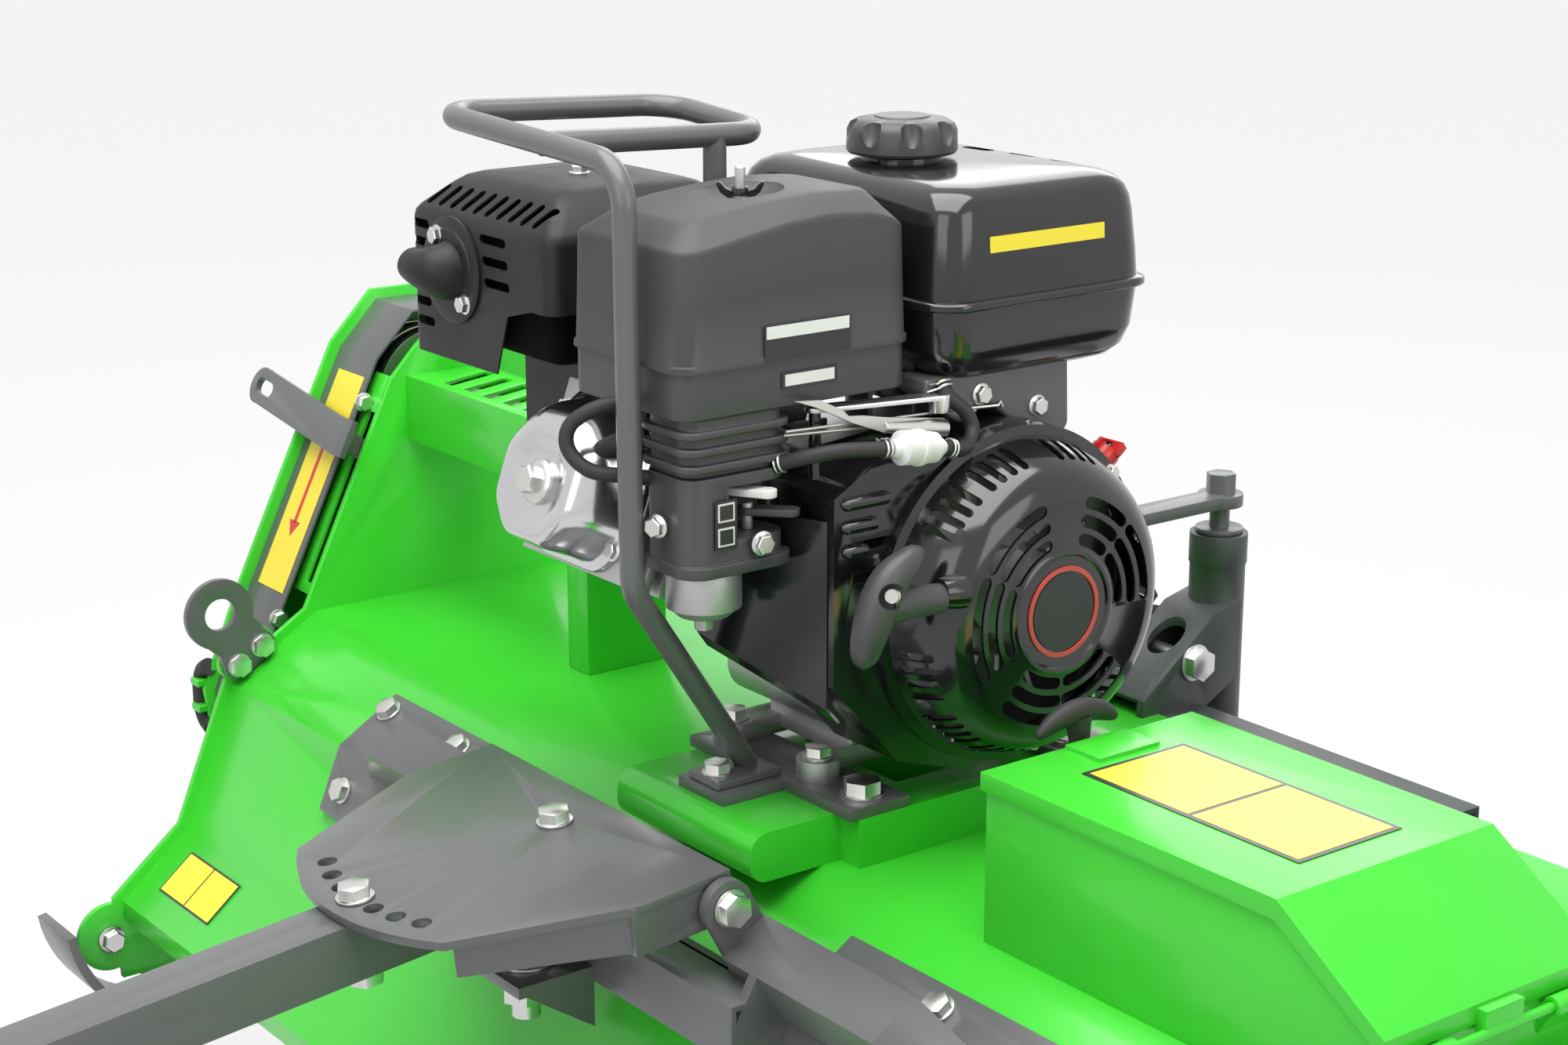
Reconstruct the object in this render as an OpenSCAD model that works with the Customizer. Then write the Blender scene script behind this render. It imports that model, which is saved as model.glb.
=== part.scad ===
// Towed flail mower with a petrol engine on the deck.
// Working frame: x runs forward from the crankshaft line, y runs to the left from the
// middle of the deck and z runs up from the ground. Every piece is then shifted so that
// the origin lies under the middle of the machine.

/* [Deck] */
// Working width between the side plates
deck_w = 1220; // [1120:10:1400]
// Height of the flat deck top above the ground
deck_top = 335; // [325:1:360]
// Thickness of the deck sheet
sheet_t = 4; // [3:0.5:6]
// Thickness of the side plates
side_t = 6; // [5:0.5:8]
// Distance from the crankshaft line back to the rear wall
deck_back = 250; // [240:1:265]
// Distance from the crankshaft line forward to the first front bend
deck_front = 145; // [140:1:155]
// Forward run of the shoulder slope
shoulder_run = 83; // [78:1:90]
// Drop of the shoulder slope
shoulder_drop = 51; // [46:1:58]
// Forward run of the front face
face_run = 50; // [44:1:56]
// Drop of the front face
face_drop = 120; // [112:1:126]
// Forward run of the toe slope
toe_run = 63; // [56:1:70]
// Drop of the toe slope
toe_drop = 52; // [46:1:56]
// Depth of the lip under the toe
lip_drop = 17; // [12:1:20]
// Height of the lower end of the rear wall above the ground
rear_edge_z = 215; // [210:1:230]
// Height of the side plates' lower edge above the ground
side_bottom = 42; // [36:1:50]
// How far the side plates stand proud of the deck sheet
side_proud = 8; // [5:1:11]

/* [Skids and rear flap] */
// Width of a skid runner
skid_w = 64; // [50:1:70]
// Thickness of a skid runner
skid_t = 8; // [6:1:10]
// Radius of the turned-up skid tip
skid_tip_r = 120; // [110:1:128]
// Thickness of the rubber rear flap
flap_t = 5; // [4:0.5:7]
// Height of the lower edge of the rear flap above the ground
flap_bottom = 30; // [20:1:45]
// Radius of the rod that carries the rear flap
flap_rod_r = 5; // [4:0.5:6]

/* [Rotor] */
// Forward place of the rotor axis
rotor_x = 40; // [30:1:50]
// Height of the rotor axis above the ground
rotor_z = 175; // [168:1:185]
// Radius of the rotor tube
rotor_tube_r = 45; // [40:1:48]
// Radius of the circle of flail pins
flail_pin_circle = 66; // [64:1:70]
// Length of a flail from its pin to its edge
flail_len = 60; // [52:1:64]
// Number of flails in each of the two rows
flail_count = 10; // [6:1:12]
// Radius of a flail pin
flail_pin_r = 8; // [7:0.5:9]
// Radius of the rotor's end shafts
rotor_shaft_r = 20; // [17:1:24]

/* [Belt drive] */
// Outer radius of the driving pulley
drive_pulley_r = 58; // [52:1:60]
// Outer radius of the rotor pulley
rotor_pulley_r = 66; // [60:1:70]
// Width of one belt
belt_w = 12; // [10:0.5:13]
// Thickness of one belt
belt_t = 9; // [8:0.5:10]
// Outer radius of the idler pulley
idler_r = 26; // [22:1:27]
// Width of the gap between the side plate and the belt housing
strip_w = 16; // [15:0.5:20]
// Depth of the belt housing
housing_w = 66; // [62:1:70]
// Thickness of the belt housing sheet
housing_t = 3; // [2:0.5:4]
// Thickness of the outer guard plate
guard_t = 6; // [4:0.5:8]
// How far the outer guard plate stands proud of the housing
guard_proud = 9; // [6:1:12]
// Radius of the engine shaft
shaft_r = 15; // [12:1:17]

/* [Engine] */
// Height of the raised engine platform
platform_h = 35; // [30:1:40]
// Thickness of the rails under the engine feet
rail_t = 8; // [6:1:10]
// Height of the crankshaft above the engine feet
crank_h = 127; // [124:1:132]
// Sideways place of the engine's middle
engine_y = 13; // [5:1:20]
// Tilt of the cylinder above level
cylinder_tilt = 20; // [17:1:22]
// Radius of the recoil cover at its base
recoil_r = 115; // [110:1:118]
// Depth of the recoil cover
recoil_d = 54; // [48:1:58]
// Depth of the blower housing
blower_d = 68; // [62:1:72]
// Radius of the fuel cap
cap_r = 39; // [35:1:41]
// Height of the fuel cap
cap_h = 27; // [24:1:32]
// Radius of the guard bar tube
bar_r = 8; // [7:0.5:9]
// Height of the guard bar's top run above the crankshaft
bar_top = 297; // [294:1:304]

/* [Drawbar] */
// Forward place of the hitch hinge
hinge_x = 256; // [254:1:260]
// Height of the hitch hinge above the deck top
hinge_rise = 15; // [12:1:22]
// Slope of the drawbar below level
drawbar_slope = 6; // [5:0.5:7]
// Thickness of the swivel plate
plate_t = 6; // [5:0.5:8]
// Width of the swivel plate across the hinge
plate_w = 290; // [280:1:300]
// Size of the square drawbar and frame tube
tube_s = 40; // [36:1:42]
// Distance from the swivel pivot to the row of lock holes
lock_r = 152; // [145:1:158]
// Angle between lock holes
lock_pitch = 8; // [7:0.5:8]
// Radius of the hitch bolts
hitch_bolt_r = 6; // [5:0.5:7]
// Distance from the hinge to the tow eye
tow_reach = 874; // [700:5:1000]
// Radius of the hole in the tow eye
tow_hole_r = 10.25; // [9:0.25:12]
// Thickness of the tow eye
tow_t = 16; // [12:1:20]

/* [Wheels and jack] */
// Radius of a tyre
tyre_r = 165; // [160:1:170]
// Width of a tyre
tyre_w = 125; // [100:1:135]
// Radius of a rim
rim_r = 78; // [70:1:84]
// Distance from the deck's side in to the middle of a wheel
wheel_inset = 140; // [110:1:170]
// Distance from the crankshaft line back to the axle
axle_back = 545; // [545:1:580]
// Radius of the axle
axle_r = 15; // [12:0.5:18]
// Distance from the crankshaft line back to the pivot of the wheel frame
arm_pivot_back = 170; // [160:1:180]
// Height of the pivot of the wheel frame above the ground
arm_pivot_z = 250; // [244:1:256]
// Thickness of a wheel arm
arm_t = 12; // [10:1:14]
// Radius of a wheel arm's pivot pin
arm_pin_r = 12; // [10:0.5:14]
// Distance from the crankshaft line back to the jack
jack_back = 337; // [334:1:342]
// Outer radius of the jack tube
jack_r = 22; // [21:0.5:24]
// Radius of the jack's inner leg
jack_leg_r = 17; // [15:0.5:18]
// Radius of the jack's screw
jack_screw_r = 8; // [6:0.5:9]
// Length of the jack's crank handle
jack_handle = 168; // [140:1:190]

/* [Battery box] */
// Length of the battery box along the deck's width
box_len = 328; // [300:1:335]
// Width of the battery box along the direction of travel
box_w = 184; // [175:1:190]
// Height of the battery box with its lid
box_h = 114; // [108:1:125]
// Thickness of the box and lid sheet
box_t = 2.5; // [2:0.5:3.5]
// Gap between the box and the left side plate
box_side_gap = 18; // [16:1:24]
// Run of the sloping end of the lid
lid_slope_run = 81; // [70:1:90]
// Drop of the sloping end of the lid
lid_slope_drop = 54; // [45:1:58]
// Depth of the lid's rim
lid_rim = 12; // [9:1:15]

/* [Fits] */
// Radial clearance of running fits
run_gap = 0.08; // [0.04:0.01:0.1]
// Clearance between pieces that pass close by each other
seat_gap = 0.4; // [0.3:0.1:0.6]
// Radial clearance of bolt holes
bolt_gap = 0.3; // [0.2:0.1:0.5]

/* [Hidden] */
$fn = 48;

// Paint and finish colours
lime = [0.33, 0.86, 0.25];
graphite = [0.32, 0.33, 0.34];
gloss_black = [0.05, 0.05, 0.05];
plastic = [0.2, 0.2, 0.21];
alloy = [0.68, 0.68, 0.69];
zinc = [0.8, 0.8, 0.78];
rubber = [0.08, 0.08, 0.08];

// Places along the machine's width
half_w = deck_w / 2;
side_out = half_w + side_t;
housing_in = side_out + strip_w;
housing_out = housing_in + housing_w;
guard_out = housing_out + guard_t;

// Heights of the engine stack
platform_z = deck_top + platform_h;
feet_z = platform_z + rail_t;
crank_z = feet_z + crank_h;

// Outer line of the deck sheet from the rear wall over the top to the front lip
bend1 = [deck_front, deck_top];
bend2 = bend1 + [shoulder_run, -shoulder_drop];
bend3 = bend2 + [face_run, -face_drop];
bend4 = bend3 + [toe_run, -toe_drop];
lip = bend4 - [0, lip_drop];
rear_top = [-deck_back, deck_top];
rear_low = [-deck_back, rear_edge_z];
deck_line = [rear_low, rear_top, bend1, bend2, bend3, bend4, lip];

// Front toe bolts that hold the skids
toe_bolt = lip + [12, -13];
toe_lobe_r = 30;
toe_bolt_d = 16;

// Rear flap hanging rod
flap_axis = [-deck_back - 12, rear_edge_z - 3];
flap_knuckle_r = flap_rod_r + 5;
lug_low = 8;
lug_t = 5;
lug_places = [-0.92, -0.31, 0.31, 0.92];

// Belt loop and tension arm
drive_axis = [0, crank_z];
rotor_axis = [rotor_x, rotor_z];
belt_gap = 10;
belt_in_drive = drive_pulley_r - belt_t - 1;
belt_in_rotor = rotor_pulley_r - belt_t - 1;
belt_y = -(housing_in + housing_w / 2);
pulley_w = 2 * belt_w + belt_gap + 12;
housing_line = [[168, deck_top + 1], [65, crank_z + 40], [27, crank_z + 79], [-60, crank_z + 79],
    [-98, crank_z + 40], [-98, 150], [-50, 92], [125, 92], [190, 150], [205, 250]];
tension_pivot = [-60, crank_z - 165];
tension_pin_r = 8;
idler_pin_r = 8;
idler_drop = 108;

// Shaft tunnel over the deck
tunnel_x = [-29, 48];
tunnel_z = [crank_z - 31, crank_z + 27];
tunnel_y = [-half_w, -305];

// Hitch
hinge = [hinge_x, deck_top + hinge_rise];
pivot_run = 30;
plate_rise = 20;
plate_nose = lock_r + 20;
wheel_y = half_w - wheel_inset;
flange_drop = 34;
ear_gap = 2;
ear_t = 8;
ear_in = plate_w / 2 + ear_gap;
ear_out = ear_in + ear_t;
drawbar_top = plate_rise - plate_t - 0.5;
tow_end = [hinge_x + tow_reach, hinge[1] - tow_reach * sin(drawbar_slope) - 6];
tow_eye_r = 35;

// Wheels and jack
arm_pivot = [-arm_pivot_back, arm_pivot_z];
axle = [-axle_back, tyre_r];
arm_in = side_out + 2;
arm_out = arm_in + arm_t;
beam_s = 50;
beam_mid_z = arm_pivot_z - (jack_back - arm_pivot_back) / (axle_back - arm_pivot_back)
    * (arm_pivot_z - tyre_r);
beam_top = beam_mid_z + beam_s / 2;
ball_r = 15;
ball_z = beam_top + ball_r + seat_gap;
jack_top = crank_z - 43;
jack_low = 300;
rear_beam_z = deck_top - 3;
saddle_pin = [-287, deck_top + 35];
saddle_in = jack_r - 2;
saddle_out = saddle_in + 7;

// Battery box
box_y1 = half_w - box_side_gap;
box_y0 = box_y1 - box_len;
box_x1 = deck_front - 2;
box_x0 = box_x1 - box_w;
box_top = deck_top + box_h;
lid_knee = [box_y1 - lid_slope_run, box_top];
lid_end_z = box_top - lid_slope_drop;
lid_hinge = [box_y1 + 6, lid_end_z - 16];
lid_pin_r = 3;
latch_pivot = [box_y0 - 4, box_top - 52];
latch_pin_r = 3;
latch_x = 48;

// Engine places, measured from the crankshaft line and the engine's middle
feet_x = [113, -75];
feet_y = [49, -49];
foot_h = 14;
case_y = [-85, 47];
case_top = 93;
crank_bore_r = 18;
head_y = -33;
blower_front = case_y[1] + blower_d;
recoil_face = blower_front + recoil_d;
muffler_x = [60, 235];
muffler_y = [-275, -87];
muffler_z = [135, 266];
outlet_y = muffler_y[0] + 61;
filter_x = [66, 254];
filter_y = [-40, 91];
filter_z = [182, 254, 275];
tank_x = [-136, 57];
tank_y = [-143, 112];
tank_z = [143, 198, 278];
cap_at = [-20, -29];
neck_r = 24;
intake_x = [163, 254];
intake_y = [33, 91];
intake_z = [46, 111];
bowl_at = [216, 60];
bowl_r = 25;
throttle_pivot = [140, 79];
throttle_z = 140;
choke_pivot = [206, 68];
choke_z = 94;
tap_pivot = [190, 72];
tap_z = 78;
lever_pin_r = 4;
switch_at = [-90, 92, 64];
switch_pin_r = 5;

// Routes of the guard bar and the hoses, from the crankshaft line and the engine's middle
bar_route = [[146, 11, -121], [264, 49, 34], [266, 49, bar_top + 10], [266, -176, bar_top + 20],
    [81, -167, bar_top + 13], [81, -51, bar_top + 5], [262, -51, bar_top + 12]];
bar_leg_route = [[125, -51, bar_top + 7], [125, -51, 116], [52, -51, 102.5]];
fuel_hose_route = [[158, 92, 96], [136, 112, 108], [112, 123, 118]];
tank_hose_route = [[68, 123, 115], [46, 122, 118], [28, 112, 130], [20, 101, 146], [18, 94, 151]];
breather_route = [[225, -62, 143], [230, -66, 160], [262, -50, 166], [266, 6, 148], [262, 28, 118], [256, 36, 100]];

// Bolts as [place, direction, thread diameter, grip]
shoulder_up = [shoulder_drop, 0, shoulder_run] / norm([shoulder_drop, shoulder_run]);
face_out = [face_drop, 0, face_run] / norm([face_drop, face_run]);
mount_t = 6;
mount_y = [184, 410];
frame_bolt_d = 10;
function on_line(a, b, share) = a + (b - a) * share;
shoulder_at = on_line(bend1, bend2, 0.55);
face_at = on_line(bend2, bend3, 0.22);
function lift(p, y, n, t) = [p[0] + n[0] * t, y, p[1] + n[2] * t];
frame_bolts = [for (s = [-1, 1], q = [[shoulder_at, 288, shoulder_up], [shoulder_at, 396, shoulder_up],
    [face_at, 384, face_out]]) [lift(q[0], s * q[1], q[2], mount_t), q[2], frame_bolt_d,
    mount_t + sheet_t]];
skid_web_t = 8;
toe_bolts = [for (s = [-1, 1]) [[toe_bolt[0], s * (side_out + skid_web_t), toe_bolt[1]], [0, s, 0],
    toe_bolt_d, skid_web_t + side_t]];
lift_t = 6;
lift_stand = 14;
lift_at = [for (share = [0.6, 0.87]) on_line(bend1, bend2, share) + lift_stand * [shoulder_up[0], shoulder_up[2]]];
lift_bolts = [for (s = [-1, 1], p = lift_at) [[p[0], s * (half_w - lift_t), p[1]], [0, -s, 0], 10,
    lift_t + side_t]];
rail_x = [111, -75];
rail_y = [108, -38];
bar_foot = [146, engine_y + 15];
bar_pad_t = 6;
platform_bolts = concat([for (x = rail_x) [[x, rail_y[0], feet_z], [0, 0, 1], 14, rail_t + sheet_t]],
    [[[bar_foot[0] + 28, bar_foot[1], feet_z + bar_pad_t], [0, 0, 1], 10, bar_pad_t + rail_t]]);
foot_bolts = [for (x = feet_x, y = feet_y) [[x, engine_y + y, feet_z + foot_h], [0, 0, 1], 10,
    foot_h + rail_t]];
saddle_bolts = [[[saddle_pin[0], saddle_out, saddle_pin[1]], [0, 1, 0], 14, 2 * saddle_out]];

// Plain helpers
function unit(v) = v / norm(v);
function left_of(d) = [-d[1], d[0]] / norm(d);
function offset_point(p, i, t) =
    let (n = len(p) - 1, a = i > 0 ? left_of(p[i] - p[i - 1]) : left_of(p[1] - p[0]),
        b = i < n ? left_of(p[i + 1] - p[i]) : a)
    p[i] + t * (a + b) / (1 + a * b);
function offset_line(p, t) = [for (i = [0:len(p) - 1]) offset_point(p, i, t)];
function reversed(p) = [for (i = [len(p) - 1:-1:0]) p[i]];
function closed_offset(p, t) = let (n = len(p), q = concat([p[n - 1]], p, [p[0]]))
    [for (i = [1:n]) offset_point(q, i, t)];
function strip_of(p, a, b) = concat(offset_line(p, a), reversed(offset_line(p, b)));

// The four points where the outer tangents touch two circles
function tangent_quad(c1, r1, c2, r2) =
    let (d = c2 - c1, l = norm(d), u = d / l, n = [-u[1], u[0]], c = (r1 - r2) / l, s = sqrt(1 - c * c))
    [c1 + r1 * (c * u + s * n), c2 + r2 * (c * u + s * n), c2 + r2 * (c * u - s * n),
        c1 + r1 * (c * u - s * n)];

// A path through the given corners with each inner corner rounded
function corner_arc(a, p, b, r, steps) =
    let (d1 = unit(a - p), d2 = unit(b - p), ang = acos(d1 * d2), c = p + unit(d1 + d2) * r / sin(ang / 2),
        v1 = p + d1 * r / tan(ang / 2) - c, v2 = p + d2 * r / tan(ang / 2) - c, turn = 180 - ang)
    [for (k = [0:steps]) c + (sin((1 - k / steps) * turn) * v1 + sin(k / steps * turn) * v2) / sin(turn)];
function rounded_path(p, r, steps) = concat([p[0]],
    [for (i = [1:len(p) - 2]) each corner_arc(p[i - 1], p[i], p[i + 1], r, steps)], [p[len(p) - 1]]);
function tangent_at(p, i) = unit(i == 0 ? p[1] - p[0] : i == len(p) - 1 ? p[i] - p[i - 1]
    : unit(p[i + 1] - p[i]) + unit(p[i] - p[i - 1]));
sweep_side = [0.53, 0.57, 0.63];
function ring_at(p, i, r, sides) = let (t = tangent_at(p, i), u = unit(cross(t, sweep_side)), v = cross(t, u))
    [for (k = [0:sides - 1]) p[i] + r * (cos(360 * k / sides) * u + sin(360 * k / sides) * v)];

// A round tube of triangles along a path
module swept_rod(path, r, sides = 12) {
    n = len(path);
    points = [for (i = [0:n - 1]) each ring_at(path, i, r, sides)];
    walls = [for (i = [0:n - 2], k = [0:sides - 1]) let (a = i * sides + k, b = i * sides + (k + 1) % sides)
        each [[a, a + sides, b], [b, a + sides, b + sides]]];
    first = [for (k = [1:sides - 2]) [0, k, k + 1]];
    last = [for (k = [1:sides - 2]) [(n - 1) * sides, (n - 1) * sides + k + 1, (n - 1) * sides + k]];
    polyhedron(points, concat(walls, first, last));
}

module block(low, high) {
    translate(low) cube(high - low);
}

// Extrudes a drawing of x and z between two places across the machine
module across(y0, y1) {
    translate([0, y1, 0]) rotate([90, 0, 0]) linear_extrude(y1 - y0) children();
}

// Extrudes a drawing of y and z between two places along the machine
module forward(x0, x1) {
    translate([x0, 0, 0]) rotate([90, 0, 90]) linear_extrude(x1 - x0) children();
}

module rod_y(at, r, y0, y1) {
    translate([at[0], y0, at[1]]) rotate([-90, 0, 0]) cylinder(r = r, h = y1 - y0);
}

module rod_x(y, z, r, x0, x1) {
    translate([x0, y, z]) rotate([0, 90, 0]) cylinder(r = r, h = x1 - x0);
}

module facing(n) {
    rotate([0, acos(n[2] / norm(n)), atan2(n[1], n[0])]) children();
}

module rounded_square(low, high, r) {
    translate([low[0] + r, low[1]]) square([high[0] - low[0] - 2 * r, high[1] - low[1]]);
    translate([low[0], low[1] + r]) square([high[0] - low[0], high[1] - low[1] - 2 * r]);
    for (x = [low[0] + r, high[0] - r], y = [low[1] + r, high[1] - r]) translate([x, y]) circle(r);
}

// A flat bar drawn between two points with slightly swollen round ends
module link(a, b, w) {
    for (p = [a, b]) translate(p) circle(w / 2);
    translate(a) rotate(atan2(b[1] - a[1], b[0] - a[0])) translate([0, -0.485 * w]) square([norm(b - a), 0.97 * w]);
}

module both_sides() {
    children();
    mirror([0, 1, 0]) children();
}

module hex_bolt(d, grip) {
    head_h = 0.65 * d;
    collar_h = 0.15 * d;
    translate([0, 0, -grip]) cylinder(r = d / 2, h = grip + collar_h);
    cylinder(r = 1.05 * d, h = collar_h);
    translate([0, 0, collar_h]) cylinder(r = 0.95 * d, h = head_h, $fn = 6);
}

module bolts(list) {
    for (b = list) translate(b[0]) facing(b[1]) hex_bolt(b[2], b[3]);
}

module bolt_holes(list) {
    for (b = list) translate(b[0]) facing(b[1]) translate([0, 0, -b[3] - 2])
        cylinder(r = b[2] / 2 + bolt_gap, h = b[3] + 4);
}

module at_engine() {
    translate([0, engine_y, crank_z]) children();
}

// Moves a drawing of the cylinder, head and valve cover onto the tilted cylinder line
module on_cylinder() {
    at_engine() rotate([0, -cylinder_tilt, 0]) translate([0, head_y, 0]) children();
}

// Moves pieces of the hitch onto the sloping line that starts at the hinge
module at_hitch() {
    translate([hinge[0], 0, hinge[1]]) rotate([0, drawbar_slope, 0]) children();
}

module ring(r_out, r_in, h) {
    difference() {
        cylinder(r = r_out, h = h);
        translate([0, 0, -1]) cylinder(r = r_in, h = h + 2);
    }
}

// Deck, side plates and skids
module deck_shell() {
    color(lime) {
        difference() {
            across(-half_w, half_w) polygon(strip_of(deck_line, 0, -sheet_t));
            bolt_holes(frame_bolts);
        }
        rod_y(flap_axis, flap_rod_r, -lug_places[3] * half_w - lug_t, lug_places[3] * half_w + lug_t);
        for (s = lug_places) translate([0, s * half_w, 0])
            block([flap_axis[0] - lug_low, -lug_t / 2, flap_axis[1] - lug_low],
                [-deck_back, lug_t / 2, rear_edge_z + 22]);
    }
}

module side_outline() {
    polygon(concat(offset_line(deck_line, side_proud), [[toe_bolt[0] - 8, side_bottom],
        [-deck_back + 25, side_bottom], [-deck_back - side_proud, side_bottom + 40]]));
    translate(toe_bolt) circle(toe_lobe_r);
    link(lift_at[0], lift_at[1], 2 * lift_stand + 2);
}

module side_holes(y0, y1) {
    rod_y(rotor_axis, rotor_shaft_r + 10, y0, y1);
}

module left_side_plate() {
    color(lime) {
        difference() {
            across(half_w, side_out) side_outline();
            side_holes(half_w - 1, side_out + 1);
            bolt_holes(toe_bolts);
            bolt_holes(lift_bolts);
        }
        rod_y(arm_pivot, arm_pin_r, side_out, arm_out + 8);
    }
}

// The right plate rises behind the belt drive and carries a slotted front strip
module guard_back_outline() {
    polygon([[deck_front + 16, deck_top - 20], [deck_front + 11, deck_top + 2], [62, crank_z + 25],
        [38, crank_z + 50], [14, crank_z + 72], [-66, crank_z + 72], [-92, crank_z + 44],
        [-92, deck_top - 20]]);
}

strip_line = [[deck_front + 1, deck_top + 12], [57, crank_z + 25]];
strip_t = 4;
lever_slot = [2, 13];
strip_under = 10;
guard_posts = [[-80, 250], [150, 200], [-50, crank_z + 55]];

module right_side_plate() {
    color(lime) {
        difference() {
            across(-side_out, -half_w) union() {
                side_outline();
                guard_back_outline();
            }
            side_holes(-side_out - 1, -half_w + 1);
            rod_y(drive_axis, shaft_r + 6, -side_out - 1, -half_w + 1);
            bolt_holes(toe_bolts);
            bolt_holes(lift_bolts);
        }
        difference() {
            across(-housing_in - strip_under, -side_out) polygon(strip_of(strip_line, 0, -strip_t));
            across(-side_out - lever_slot[1], -side_out - lever_slot[0])
                polygon(strip_of([on_line(strip_line[0], strip_line[1], 0.05),
                    on_line(strip_line[0], strip_line[1], 0.83)], strip_t, -2 * strip_t));
        }
        rod_y(arm_pivot, arm_pin_r, -arm_out - 8, -side_out);
        rod_y(tension_pivot, tension_pin_r, -side_out - lever_slot[1] - 2, -side_out);
        for (p = guard_posts) rod_y(p, 6, -housing_out, -side_out);
    }
}

skid_mid = side_out - side_t / 2;
skid_bend_x = bend4[0] - 56;

module skid_runner() {
    translate([-deck_back + 20, 0]) square([skid_bend_x + deck_back - 20, skid_t]);
    translate([skid_bend_x, skid_tip_r]) intersection() {
        difference() {
            circle(skid_tip_r);
            circle(skid_tip_r - skid_t);
        }
        polygon([[0, 0], [0, -2 * skid_tip_r], [2 * skid_tip_r, -2 * skid_tip_r],
            [2 * skid_tip_r, -0.29 * skid_tip_r]]);
    }
}

module skid() {
    across(skid_mid - skid_w / 2, skid_mid + skid_w / 2) skid_runner();
    difference() {
        across(side_out, side_out + skid_web_t) {
            polygon([[-deck_back + 60, skid_t / 2], [skid_bend_x, skid_t / 2], [toe_bolt[0], toe_bolt[1] - 22],
                [toe_bolt[0], toe_bolt[1] + 20], [skid_bend_x - 40, side_bottom + 22],
                [-deck_back + 70, side_bottom + 22]]);
            translate(toe_bolt) circle(22);
        }
        bolt_holes(toe_bolts);
    }
}

module skids() {
    color(graphite) both_sides() skid();
}

module rear_flap() {
    neck = flap_axis[1] - lug_low - 6;
    color(rubber) difference() {
        union() {
            block([flap_axis[0] - flap_t / 2, -half_w + 6, flap_bottom],
                [flap_axis[0] + flap_t / 2, half_w - 6, neck]);
            for (i = [0:2]) let (y0 = lug_places[i] * half_w + lug_t, y1 = lug_places[i + 1] * half_w - lug_t) {
                rod_y(flap_axis, flap_knuckle_r, y0, y1);
                block([flap_axis[0] - flap_t / 2, y0, neck - 1], [flap_axis[0] + flap_t / 2, y1, flap_axis[1]]);
            }
        }
        rod_y(flap_axis, flap_rod_r + run_gap, -half_w, half_w);
    }
}

// Raised platform and rails under the engine
platform_front = deck_front + 60;
platform_y = [-49, 108];
bar_w = 40;
lip_r = 14;

module engine_platform() {
    color(lime) difference() {
        union() {
            across(platform_y[0], platform_y[1]) {
                translate([64, deck_top]) square([platform_front - lip_r - 64, platform_h]);
                translate([platform_front - lip_r, deck_top + lip_r]) square([lip_r, platform_h - 2 * lip_r]);
                for (z = [deck_top + lip_r, platform_z - lip_r]) translate([platform_front - lip_r, z]) circle(lip_r);
            }
            for (y = rail_y) block([rail_x[1] - 50, y - bar_w / 2, deck_top], [rail_x[0] + 18, y + bar_w / 2, platform_z]);
        }
        block([64 + sheet_t, platform_y[0] + sheet_t, deck_top - 1],
            [platform_front - lip_r - sheet_t, platform_y[1] - bar_w, platform_z - sheet_t]);
        for (y = rail_y) block([rail_x[1] - 60, y - bar_w / 2 + sheet_t, deck_top - 1],
            [rail_x[0] + 18 - sheet_t, y + bar_w / 2 - sheet_t, platform_z - sheet_t]);
        block([-400, -half_w, deck_top - 100], [deck_front, half_w, deck_top]);
        across(-half_w, half_w) polygon(concat(offset_line(deck_line, 0), [[-deck_back, 0]]));
        bolt_holes(platform_bolts);
    }
}

module engine_rails() {
    color(graphite) difference() {
        union() {
            for (x = rail_x) block([x - 25, rail_y[1] - bar_w / 2, platform_z], [x + 25, rail_y[0] + bar_w / 2, feet_z]);
            block([rail_x[0], bar_foot[1] - 26, platform_z], [bar_foot[0] + 42, bar_foot[1] + 26, feet_z]);
        }
        bolt_holes(platform_bolts);
        bolt_holes(foot_bolts);
    }
}

level_x = hinge_x + 58;
level_d = 20;
level_top = hinge[1] + (drawbar_top - tube_s) * cos(drawbar_slope) - 58 * tan(drawbar_slope) - 1.4;
level_seat = hinge[1] - 86;
level_t = 8;

module fasteners() {
    color(zinc) {
        bolts(frame_bolts);
        bolts(toe_bolts);
        bolts(lift_bolts);
        bolts(platform_bolts);
        bolts(foot_bolts);
        bolts(saddle_bolts);
        translate([level_x, 0, 0]) {
            translate([0, 0, level_seat - 30]) cylinder(r = level_d / 2, h = level_top - level_seat + 30);
            translate([0, 0, level_seat + level_t]) cylinder(r = level_d, h = 2.5);
            translate([0, 0, level_seat + level_t]) cylinder(r = 0.85 * level_d, h = 18, $fn = 6);
            translate([0, 0, level_seat - 18]) cylinder(r = 0.85 * level_d, h = 18, $fn = 6);
        }
    }
}

// Belt drive on the right side
module belt_housing() {
    color(graphite) across(-housing_out, -housing_in) difference() {
        polygon(housing_line);
        polygon(closed_offset(housing_line, housing_t));
    }
}

module guard_plate() {
    color(lime) across(-guard_out, -housing_out) polygon(closed_offset(housing_line, -guard_proud));
}

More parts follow.
